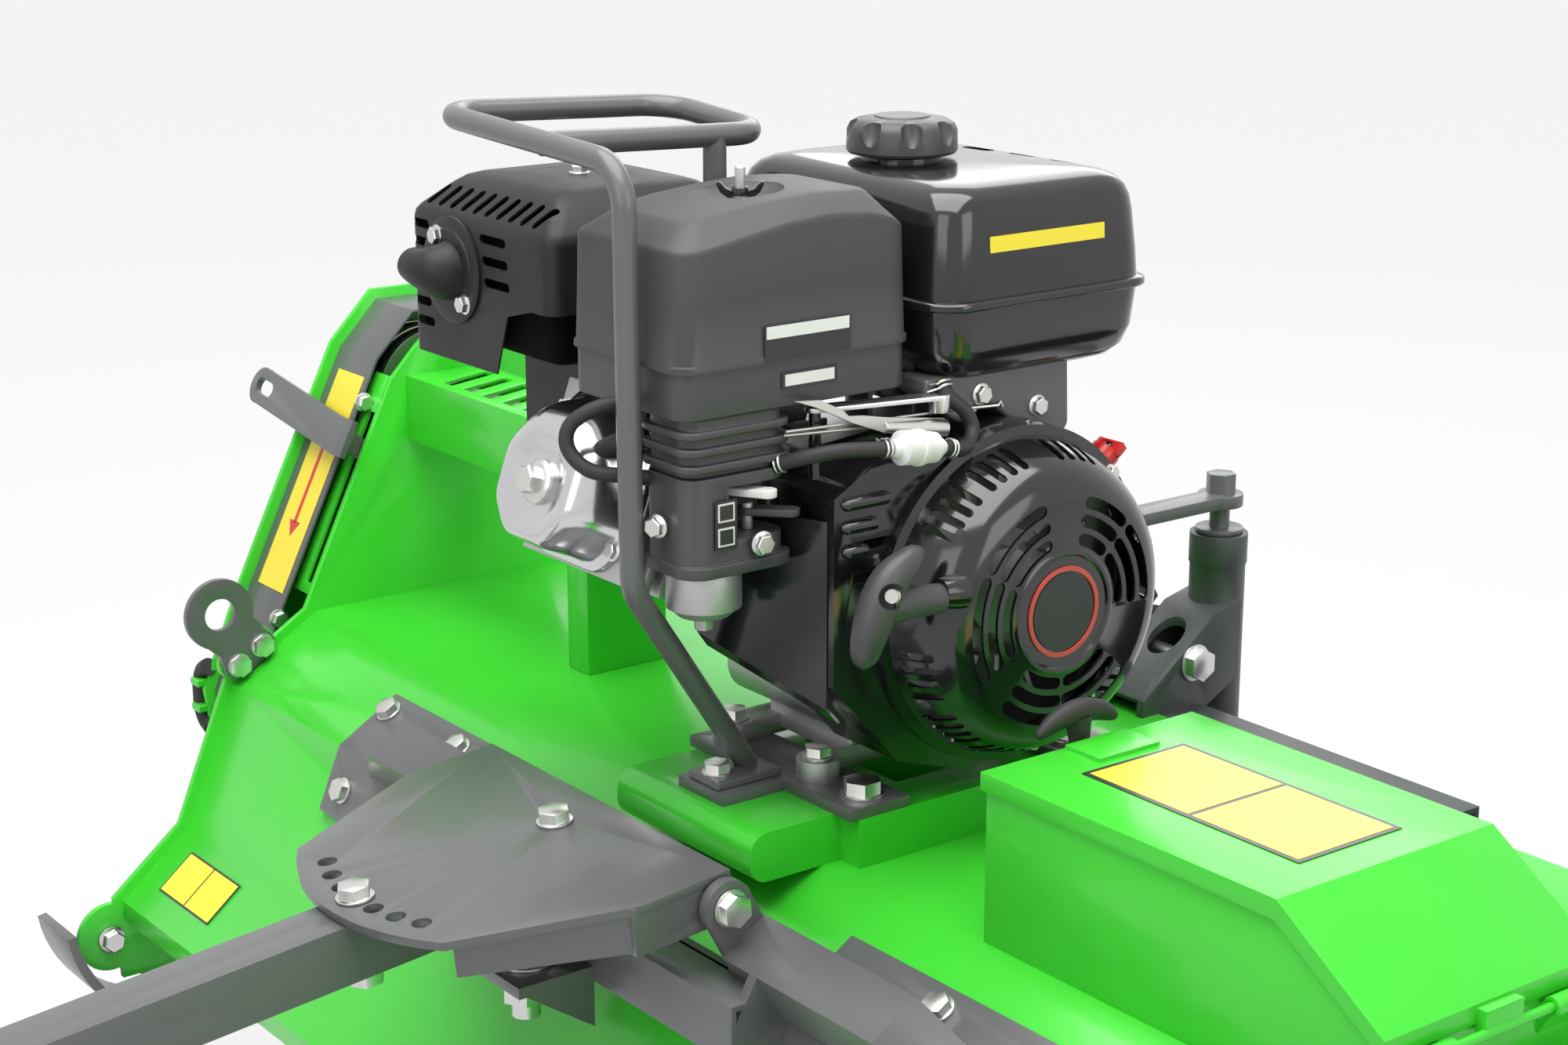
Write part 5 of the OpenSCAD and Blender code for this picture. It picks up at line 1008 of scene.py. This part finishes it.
# Slots of the shield's front as place and length, its cut corner, and the row of slots along its upper edge
FRONT_SLOTS = [(-258, 228, 24), (-260, 215, 24), (-258, 172, 24), (-254, 158, 24), (-160, 228, 34),
               (-158, 213, 34), (-156, 198, 34)]
FRONT_SLOT_WIDTH = 6.5
SHIELD_CORNER = [(-164, 120), (-143, 178), (-112, 186), (-60, 186), (-60, 120)]
FRONT_DEPTHS = (-4, 20)
CORNER_DEPTHS = (-75, 20)
EDGE_SLOTS = [(222, -252 + 15.5 * k, 249) for k in range(10)]
EDGE_SLOT_LEAN = Matrix.Rotation(math.radians(45), 4, "Y")
EDGE_SLOT_TURN = Matrix.Rotation(math.radians(-24), 4, "Z")
EDGE_SLOT = (22, 7)
EDGE_DEPTHS = (-5, 5)

# Outlet with its plate as radius and height and its spout's path and radii, then the stay and the screws
OUTLET = (235.0, -214.0, 200.5)
OUTLET_PLATE = [(38, -0.5), (38, 2), (36.5, 3), (30, 3.2), (29, 4.4), (22, 4.6)]
SPOUT = [(0, 0, 0), (7, -1, 0), (13, -4, 0.5), (17, -11, 1), (18.5, -19, 2), (18.5, -25, 3)]
SPOUT_RADII = (22, 20.5, 18, 15, 13, 12)
STAY_BARS = [((146, -258, 70), (151, -182, 150)), ((112, -258, 70), (150, -88, 75))]
OUTLET_SCREWS = ((238, -228.5, 223.5), (238, -193.6, 179.6))
TOP_SCREW = (150, -180, 265)


class MOWER_OT_muffler_shield(Operator):
    """Presses the muffler shield with its slots and sets the drum, the outlet and the stay"""

    bl_idname = "mower.muffler_shield"
    bl_label = "Muffler shield"

    def execute(self, context):
        base = split_long(rounded_ring(*SHIELD, 12), 25)
        shield = Solid().rings(levels(base, SHIELD, SHIELD_LEVELS + SHIELD_INSIDE), closed_loop=True)
        front = Solid()
        across = Matrix.Translation(eng(SHIELD[1][0] - 12, 0, 0)) @ FACING_FORWARD
        for y, z, wide in FRONT_SLOTS:
            slot = [(y + px, z + pz) for px, pz in stadium(wide, FRONT_SLOT_WIDTH)]
            front.prism(across, slot, *FRONT_DEPTHS)
        front.prism(across, SHIELD_CORNER, *CORNER_DEPTHS)
        edge = Solid()
        for at in EDGE_SLOTS:
            spot = Matrix.Translation(eng(*at)) @ EDGE_SLOT_LEAN @ EDGE_SLOT_TURN
            edge.prism(spot, stadium(*EDGE_SLOT), *EDGE_DEPTHS)
        shield.cut(front).cut(edge)
        shield.done("muffler_shield_shell", "shield_black", sharp=32, replaces=["muffler_shield"])
        top = Solid().rings(levels(base, SHIELD, SHIELD_TOP))
        top.done("muffler_shield_top", "shield_black")
        drum = Solid().rings(levels(base, SHIELD, DRUM_LEVELS)).sweep(at_engine(EXHAUST_PIPE), 15, 24)
        drum.done("muffler_drum", "soot", sharp=40, replaces=["muffler"])
        outlet = Solid().lathe(facing(eng(*OUTLET), (1, 0, 0)), OUTLET_PLATE, 48)
        spout = [eng(*OUTLET) + p for p in smooth_path(SPOUT, CURVE_STEPS)]
        outlet.sweep(spout, smooth_numbers(SPOUT_RADII, CURVE_STEPS), 28)
        outlet.done("exhaust_outlet", "shield_black", sharp=40, replaces=["exhaust_deflector"])
        stay = Solid()
        for low, high in STAY_BARS:
            stay.box(eng(*low), eng(*high))
        stay.done("muffler_stay", "shield_black", bevel=1.0)
        screws = Solid()
        for at in OUTLET_SCREWS:
            screws.screw(eng(*at), (1, 0, 0), 7, spin=at[1])
        screws.screw(eng(*TOP_SCREW), UP, 7)
        screws.done("muffler_screws", "zinc_plate")
        return {"FINISHED"}


# Fuel tank in the engine frame: corners, then height and inset of each level
TANK = ((-136.0, -143.0), (63.0, 116.0))
TANK_LEVELS = [(145, 50), (146, 30), (150, 20), (157, 13), (170, 8.5), (192, 6.5), (197, 6), (198, 2.4),
               (199, 1.6), (202.5, 1.6), (203.5, 2.4), (204.5, 6), (222, 7), (250, 9.6), (260, 11.2),
               (267, 14), (272.5, 19), (276, 26), (278, 36), (279, 60), (279.4, 92)]
TANK_DENTS = [(-94, -33, 277), (-102, 9, 277), (-104, 49, 277)]
DENT_TURN = math.pi / 2 + 0.1
DENT_SLOT = (28, 11)
DENT_DEPTHS = (-2.5, 9)

# Tank's feet, its bracket's outline and spans, and its neck and cap as radius and height
TANK_FEET = [(-60, -50, 0), (0, -50, 0), (-60, 25, 0), (0, 25, 0)]
FOOT_PROFILE = [(10, 84), (10, 147)]
BRACKET = [(58, 152), (58, 141), (36, 128), (22, 126), (0, 127), (-20, 112), (-28, 100), (-62, 92),
           (-72, 104), (-70, 152)]
BRACKET_SPANS = ((-93, -62), (60, 92))
CAP_AT = (-20, -29, 0)
NECK_PROFILE = [(29, 277), (29, 281), (24, 282), (24, 290)]
CAP_PROFILE = [(26, 283), (37.5, 283), (39, 285), (38.6, 299), (36.5, 303.5), (32, 306), (20, 307.5),
               (19, 308.6), (0.5, 309)]
GROOVE_COUNT = 8
GROOVE_SHIFT = 0.35
GROOVE_AT = (40, 0, 309)
GROOVE_PROFILE = [(2.5, -19), (7, -14), (8.5, -6), (9.5, 4)]


class MOWER_OT_fuel_tank(Operator):
    """Presses the fuel tank with its seam, sets it on its brackets and screws its cap on"""

    bl_idname = "mower.fuel_tank"
    bl_label = "Fuel tank and cap"

    def execute(self, context):
        base = split_long(rounded_ring(*TANK, 27, 9), 20)
        dents = Solid()
        for at in TANK_DENTS:
            dents.prism(facing(eng(*at), UP, DENT_TURN), stadium(*DENT_SLOT), *DENT_DEPTHS)
        top = facing(eng(*CAP_AT), UP)
        tank = Solid().rings(levels(base, TANK, TANK_LEVELS)).cut(dents).lathe(top, NECK_PROFILE, 40)
        tank.done("fuel_tank_shell", "black_enamel", sharp=42, replaces=["fuel_tank"])
        bracket = Solid()
        for near, far in BRACKET_SPANS:
            bracket.prism(Matrix.Translation(ENGINE) @ FACING_RIGHT, BRACKET, near, far)
        for at in TANK_FEET:
            bracket.lathe(facing(eng(*at), UP), FOOT_PROFILE, 24)
        bracket.done("tank_bracket", "graphite_coat", bevel=3.0)
        grooves = Solid()
        for k in range(GROOVE_COUNT):
            turn = Matrix.Rotation(2 * math.pi * (k + GROOVE_SHIFT) / GROOVE_COUNT, 4, "Z")
            grooves.lathe(top @ turn @ Matrix.Translation(GROOVE_AT), GROOVE_PROFILE, 20)
        cap = Solid().lathe(top, CAP_PROFILE, 72).cut(grooves)
        cap.done("fuel_cap_grip", "smooth_plastic", "cap", sharp=38, replaces=["fuel_cap"])
        return {"FINISHED"}


# Wheels: axle line, half track and tyre radius, then the tyre as radius and depth and its rows of lugs
WHEEL_X = -545.0
WHEEL_Y = 470.0
WHEEL_R = 165.0
TYRE_PROFILE = [(78, -42), (82, -50), (108, -59), (132, -62), (148, -57.5), (156, -49), (158.5, -30),
                (159, 0), (158.5, 30), (156, 49), (148, 57.5), (132, 62), (108, 59), (82, 50), (78, 42)]
TREAD_ROWS = ((-56, -26, 0.0), (-21, 21, 0.5), (26, 56, 0.0))
LUG_SLANT = 0.14
LUG_ENDS = ((150, 9.5, 0), (WHEEL_R - 0.4, 8, 2))
WHEEL_NUT = (46, 0, 6)
WHEEL_NUTS = 5
VALVE_AT = (66, 0, 0)
VALVE_PROFILE = [(4, 10), (4, 34), (3, 36)]


class MOWER_OT_wheels(Operator):
    """Gives the tyres their tread and the rims their nuts and valves"""

    bl_idname = "mower.wheels"
    bl_label = "Wheels"

    def execute(self, context):
        count = context.scene.mower_sizes.tread_count
        for side, name in ((1, "left"), (-1, "right")):
            body = name + "_wheel"
            m = facing((WHEEL_X, side * WHEEL_Y, WHEEL_R), (0, side, 0))
            tyre = Solid().lathe(m, TYRE_PROFILE, 96, closed=True)
            for k in range(count):
                for low, high, shift in TREAD_ROWS:
                    spot = m @ Matrix.Rotation(2 * math.pi * (k + shift) / count, 4, "Z")
                    rings = []
                    for r, w, trim in LUG_ENDS:
                        corners = ((-w, low + trim), (w, low + trim), (w, high - trim), (-w, high - trim))
                        rings.append([spot @ Vector((r, y + LUG_SLANT * (h - low), h)) for y, h in corners])
                    tyre.rings(rings)
            tyre.done(name + "_tyre_tread", "tyre_rubber", body, sharp=30, replaces=[name + "_tyre"])
            nuts = Solid()
            for k in range(WHEEL_NUTS):
                spot = m @ Matrix.Rotation(2 * math.pi * k / WHEEL_NUTS, 4, "Z")
                nuts.screw(spot @ Vector(WHEEL_NUT), (0, side, 0), 8, spin=k, stud=4)
            nuts.done(name + "_wheel_nuts", "zinc_plate", body)
            valve = Solid().lathe(m @ Matrix.Translation(VALVE_AT), VALVE_PROFILE, 16)
            valve.done(name + "_wheel_valve", "black_rubber", body)
        return {"FINISHED"}


# Governor plate's outline and folded end, and its rods as path and radius, in the working frame
GOVERNOR_OUTLINE = [(172.7, 659.8), (151.9, 657.9), (134, 649), (128, 643.8), (116.5, 642.6), (96.8, 638.7),
                    (47.1, 631), (49.6, 619), (96.7, 627.6), (124.2, 638.3), (155.1, 653.2)]
GOVERNOR_SIDES = (111, 113)
GOVERNOR_END = [(99, 112, 632), (60, 112, 626), (47, 112, 624)]
GOVERNOR_END_RADII = [4, 6.6, 6.6]
GOVERNOR_RODS = [
    ([(176, 108, 639.5), (40, 108, 634), (-4, 108, 631.5), (-6, 108, 634), (-8, 108, 630)], 1.2),
    ([(176, 106, 636.5), (106, 106, 632)], 1.1),
]


class MOWER_OT_governor(Operator):
    """Bends the plated governor plate below the throttle lever and its thin rods"""

    bl_idname = "mower.governor"
    bl_label = "Governor plate and rods"

    def execute(self, context):
        plate = Solid().prism(FACING_LEFT, [(-x, z) for x, z in GOVERNOR_OUTLINE], *GOVERNOR_SIDES)
        plate.sweep(GOVERNOR_END, GOVERNOR_END_RADII, 20)
        plate.done("governor_plate", "zinc_plate", bevel=0.4)
        rods = Solid()
        for path, radius in GOVERNOR_RODS:
            rods.sweep(path, radius, 8)
        rods.done("governor_rods", "zinc_plate")
        return {"FINISHED"}


# Box latch in the working frame: path and radii of its grip and of its strap
LATCH_PATH = [(88, 256, 456), (85, 256, 459), (72, 256, 465), (55, 256, 467.5), (38, 256, 465),
              (25, 256, 459), (22, 256, 456)]
LATCH_RADII = [2.5, 5, 8, 9.5, 8, 5, 2.5]
STRAP_PATH = [(54, 256, 465), (52, 256.5, 440), (48, 258, 420), (48, 259.5, 398)]
STRAP_RADII = [9, 6, 5, 5.5]


class MOWER_OT_latch(Operator):
    """Moulds the rubber latch of the battery box"""

    bl_idname = "mower.latch"
    bl_label = "Box latch"

    def execute(self, context):
        latch = Solid()
        radii = smooth_numbers(LATCH_RADII, CURVE_STEPS)
        latch.sweep(smooth_path(LATCH_PATH, CURVE_STEPS), radii, 24, flat=0.8)
        latch.sweep(STRAP_PATH, STRAP_RADII, 20)
        latch.done("latch_grip", "black_rubber", "latch", sharp=60, replaces=["box_latch"])
        return {"FINISHED"}


# Deck trim in the working frame: toe bolts, guard screws and the small latch on the right side
TOE_BOLT = (354.0, 80.5)
TOE_INSIDE = 609.8
TOE_OUTSIDE = 616.2
GUARD_SCREWS = [(79.0, -631.8, 508.0), (171.5, -631.8, 327.0)]
LATCH_TABS = [((200, -715, 230), (220, -699, 237)), ((200, -715, 254), (220, -699, 261))]
SIDE_LATCH = [(208, -700, 272), (209, -709, 266), (210, -713, 254), (210, -713.5, 243), (210, -713, 232),
              (209, -709, 221), (208, -700, 215)]
SIDE_LATCH_RADIUS = 8.0


class MOWER_OT_deck_trim(Operator):
    """Sets the toe bolts, the guard screws and the small latch on the right side"""

    bl_idname = "mower.deck_trim"
    bl_label = "Deck trim"

    def execute(self, context):
        bolts = Solid()
        for side in (-1, 1):
            bolts.screw((TOE_BOLT[0], side * TOE_INSIDE, TOE_BOLT[1]), (0, -side, 0), 11, spin=0.3)
            bolts.screw((TOE_BOLT[0], side * TOE_OUTSIDE, TOE_BOLT[1]), (0, side, 0), 11, stud=4)
        for at in GUARD_SCREWS:
            bolts.screw(at, (0, 1, 0), 8)
        bolts.done("deck_bolts", "zinc_plate")
        latch = Solid().sweep(smooth_path(SIDE_LATCH, CURVE_STEPS), SIDE_LATCH_RADIUS, 20)
        latch.done("side_latch", "black_rubber", sharp=60)
        tabs = Solid()
        for low, high in LATCH_TABS:
            tabs.box(low, high)
        tabs.done("side_latch_tabs", "lime_coat", bevel=1.5)
        return {"FINISHED"}


def slope_label(a, b, s0, s1, y0, y1, lift):
    """Four corners on the plane through two profile points, seen counter-clockwise from the front."""
    a = Vector(a)
    b = Vector(b)
    d = (b - a).normalized()
    out = Vector((-d.y, d.x))
    if out.x < 0:
        out = -out
    p = a + (b - a) * s0 + out * lift
    q = a + (b - a) * s1 + out * lift
    return [(p.x, y0, p.y), (p.x, y1, p.y), (q.x, y1, q.y), (q.x, y0, q.y)]


def wall_label(y, x0, x1, z0, z1, lean=0.0):
    """Four corners on a wall that faces the machine's left, counter-clockwise from outside."""
    return [(x1, y, z0), (x0, y, z0), (x0, y - lean, z1), (x1, y - lean, z1)]


def inner(corners, u0, u1, v0, v1, lift):
    """A smaller four-cornered plate inside another, given by shares of its sides."""
    a, b, c, d = [Vector(p) for p in corners]
    out = []
    for u, v in ((u0, v0), (u1, v0), (u1, v1), (u0, v1)):
        out.append((a * (1 - u) + b * u) * (1 - v) + (d * (1 - u) + c * u) * v)
    return outward(out, lift)


def arrow_head(corners, tip):
    """A triangle on a plate, with its tip on the plate's first or third side."""
    foot = 2 - tip
    return [(corners[tip] + corners[tip + 1]) / 2, corners[foot], corners[foot + 1]]


# Plates on the housing band and the deck's toe as profile points, span between them, ends along y and lift
BAND = ((168.0, 336.0), (65.0, 545.0), 0.05, 0.92, -684, -638, 0.2)
TOE = ((341.0, 112.0), (278.0, 164.0), 0.31, 0.82, -578, -486, 0.2)

# The lid's plate by its corners, and plates on walls as y, ends along x, heights and lean
LID = [(96, 305, 449.2), (96, 484, 449.2), (8, 484, 449.2), (8, 305, 449.2)]
STICKER = (104.6, 121, 190, 686, 709)
TRAY = (102.4, 130, 175, 666, 677)
TANK_SIDE = (122.1, -88, 19, 714, 751, 2.6)
ELBOW = (104.3, 212, 229, 569, 601)

# Panes as shares of their plates' sides
STICKER_PANE = [(0.02, 0.98, 0.62, 0.97)]
TRAY_PANE = [(0.06, 0.94, 0.16, 0.84)]
TANK_PANE = [(0.02, 0.98, 0.68, 0.97)]
HALVES = [(0.02, 0.49, 0.04, 0.96), (0.51, 0.98, 0.04, 0.96)]
ELBOW_PANES = [(0.12, 0.88, 0.06, 0.44), (0.12, 0.88, 0.56, 0.94)]
ELBOW_PATCHES = [(0.2, 0.8, 0.1, 0.4), (0.2, 0.8, 0.6, 0.9)]
ARROW_BAR = [(0.45, 0.55, 0.3, 0.7)]
ARROW_HEADS = [(0.24, 0.31, 0), (0.69, 0.76, 2)]

# Lift of the arrow above its plate, and thicknesses
ARROW_LIFT = 0.4
PLATE_THICKNESS = 0.5
PANE_THICKNESS = 0.4


class MOWER_OT_labels(Operator):
    """Puts plain plates and a bare arrow where the machine carries labels"""

    bl_idname = "mower.labels"
    bl_label = "Plain label plates"

    def execute(self, context):
        band = slope_label(*BAND)
        toe = slope_label(*TOE)
        sticker, tray, tank, elbow = [wall_label(*wall) for wall in (STICKER, TRAY, TANK_SIDE, ELBOW)]
        Solid().panes(LID, HALVES).done("lid_label_yellow", "label_yellow", "lid")
        Solid().plate(LID, PLATE_THICKNESS).done("lid_label_dark", "label_dark", "lid")
        yellow = Solid().plate(band, PLATE_THICKNESS).panes(toe, HALVES)
        yellow.panes(tank, TANK_PANE).done("label_plates_yellow", "label_yellow")
        dark = Solid()
        for corners in (toe, sticker, tray, tank, elbow):
            dark.plate(corners, PLATE_THICKNESS)
        dark.done("label_plates_dark", "label_dark")
        white = Solid().panes(sticker, STICKER_PANE).panes(tray, TRAY_PANE).panes(elbow, ELBOW_PANES)
        white.done("label_plates_white", "label_white")
        Solid().panes(elbow, ELBOW_PATCHES, lift=0.6).done("label_patches", "label_dark")
        arrow = Solid().panes(band, ARROW_BAR, ARROW_LIFT)
        for v0, v1, tip in ARROW_HEADS:
            corners = inner(band, 0.3, 0.7, v0, v1, ARROW_LIFT)
            arrow.rings([arrow_head(corners, tip), arrow_head(outward(corners, PANE_THICKNESS), tip)])
        arrow.done("band_arrow", "label_red")
        return {"FINISHED"}


# Studio in metres: floor, light of the room, and lamps as place, width and power
FLOOR_HALF = 30.0
FLOOR_DROP = 0.0005
FLOOR_GLOW = 0.88
ROOM_LIGHT = 0.22
LAMPS = {
    "key": ((0.2, 0.2, 2.7), 2.6, 108),
    "front": ((2.4, 1.2, 1.7), 1.6, 16),
    "left": ((-0.6, 2.6, 1.5), 1.4, 14),
    "rear": ((-2.4, -1.8, 2.2), 1.8, 22),
}
LAMP_AIM = Vector((-0.1, 0, 0.4))

# Camera: place in the working frame, the directions of its picture, and its lens and sensor
CAMERA_AT = (1202.84, 1461.78, 1054.81)
CAMERA_RIGHT = Vector((-0.79706, 0.60390, 0))
CAMERA_UP = Vector((-0.16260, -0.21461, 0.96307))
CAMERA_LENS = 63.09
CAMERA_SENSOR = 36


def seen_directly(tree):
    """One for camera, glossy and transmission rays, and nought for the rest."""
    path = tree.nodes.new("ShaderNodeLightPath")
    result = path.outputs["Is Camera Ray"]
    for name in ("Is Glossy Ray", "Is Transmission Ray"):
        result = math_in(tree, "MAXIMUM", result, path.outputs[name])
    return result


def floor_finish():
    """A pale floor that glows where it is seen, so that it stays near white."""
    material = bpy.data.materials.new("pale_floor")
    material.use_nodes = True
    tree = material.node_tree
    shader = tree.nodes["Principled BSDF"]
    set_inputs(shader, {"Base Color": (0.9, 0.9, 0.9, 1), "Roughness": 0.9, "Specular IOR Level": 0.1})
    glow = tree.nodes.new("ShaderNodeEmission")
    share = math_in(tree, "MULTIPLY", seen_directly(tree), FLOOR_GLOW)
    mix = tree.nodes.new("ShaderNodeMixShader")
    for socket, source in zip(mix.inputs, (share, shader.outputs[0], glow.outputs[0])):
        tree.links.new(source, socket)
    tree.links.new(mix.outputs[0], tree.nodes["Material Output"].inputs["Surface"])
    return material


def add_floor():
    """The floor just below the wheels."""
    h = FLOOR_HALF
    mesh = bpy.data.meshes.new("floor")
    mesh.from_pydata([(-h, -h, 0), (h, -h, 0), (h, h, 0), (-h, h, 0)], [], [(0, 1, 2, 3)])
    mesh.materials.append(floor_finish())
    floor = linked("floor", mesh)
    floor.location.z = -FLOOR_DROP


def add_lights(scene):
    """A world that looks white but lights little, and the lamps."""
    scene.world = bpy.data.worlds.new("studio")
    scene.world.use_nodes = True
    tree = scene.world.node_tree
    back = tree.nodes["Background"]
    set_inputs(back, {"Color": (1, 1, 1, 1)})
    strength = set_inputs(tree.nodes.new("ShaderNodeMapRange"), {"To Min": ROOM_LIGHT, "To Max": 1.0})
    tree.links.new(seen_directly(tree), strength.inputs["Value"])
    tree.links.new(strength.outputs["Result"], back.inputs["Strength"])
    for name, (at, width, power) in LAMPS.items():
        data = bpy.data.lights.new(name, "AREA")
        data.shape = "SQUARE"
        data.size = width
        data.energy = power
        lamp = linked(name, data)
        lamp.location = at
        lamp.rotation_euler = (LAMP_AIM - Vector(at)).to_track_quat("-Z", "Y").to_euler()


def add_camera(scene):
    """The camera at the photo's place."""
    data = bpy.data.cameras.new("camera")
    data.sensor_width = CAMERA_SENSOR
    data.lens = CAMERA_LENS
    camera = linked("camera", data)
    turn = Matrix((CAMERA_RIGHT, CAMERA_UP, CAMERA_RIGHT.cross(CAMERA_UP))).transposed().to_4x4()
    camera.matrix_world = Matrix.Translation(to_row(CAMERA_AT)) @ turn
    scene.camera = camera


class MOWER_OT_stage(Operator):
    """Sets the floor, the lights, the world and the camera"""

    bl_idname = "mower.stage"
    bl_label = "Studio"

    def execute(self, context):
        context.scene.view_settings.view_transform = "Standard"
        add_floor()
        add_lights(context.scene)
        add_camera(context.scene)
        return {"FINISHED"}


class MOWER_PT_panel(Panel):
    """Lists the dressing steps"""

    bl_idname = "MOWER_PT_panel"
    bl_label = "Mower"
    bl_space_type = "VIEW_3D"
    bl_region_type = "UI"
    bl_category = "Mower"

    def draw(self, context):
        for step in STEPS:
            self.layout.operator(step.bl_idname)


STEPS = (
    MOWER_OT_stage,
    MOWER_OT_frame_finish,
    MOWER_OT_guard_bar,
    MOWER_OT_hoses,
    MOWER_OT_filter_cover,
    MOWER_OT_starter_grip,
    MOWER_OT_valve_cover,
    MOWER_OT_recoil_cover,
    MOWER_OT_cowling,
    MOWER_OT_muffler_shield,
    MOWER_OT_fuel_tank,
    MOWER_OT_wheels,
    MOWER_OT_governor,
    MOWER_OT_latch,
    MOWER_OT_deck_trim,
    MOWER_OT_engine_screws,
    MOWER_OT_labels,
)
CLASSES = (MowerColours, MowerSizes, *STEPS, MOWER_PT_panel)


def register():
    """Registers the classes and the scene's settings."""
    for cls in CLASSES:
        bpy.utils.register_class(cls)
    bpy.types.Scene.mower_colours = PointerProperty(type=MowerColours)
    bpy.types.Scene.mower_sizes = PointerProperty(type=MowerSizes)


def unregister():
    """Takes the classes and the settings away again."""
    del bpy.types.Scene.mower_sizes
    del bpy.types.Scene.mower_colours
    for cls in reversed(CLASSES):
        bpy.utils.unregister_class(cls)


def main():
    """Dresses the mower."""
    register()
    for step in STEPS:
        group, name = step.bl_idname.split(".")
        getattr(getattr(bpy.ops, group), name)()


if __name__ == "__main__":
    main()
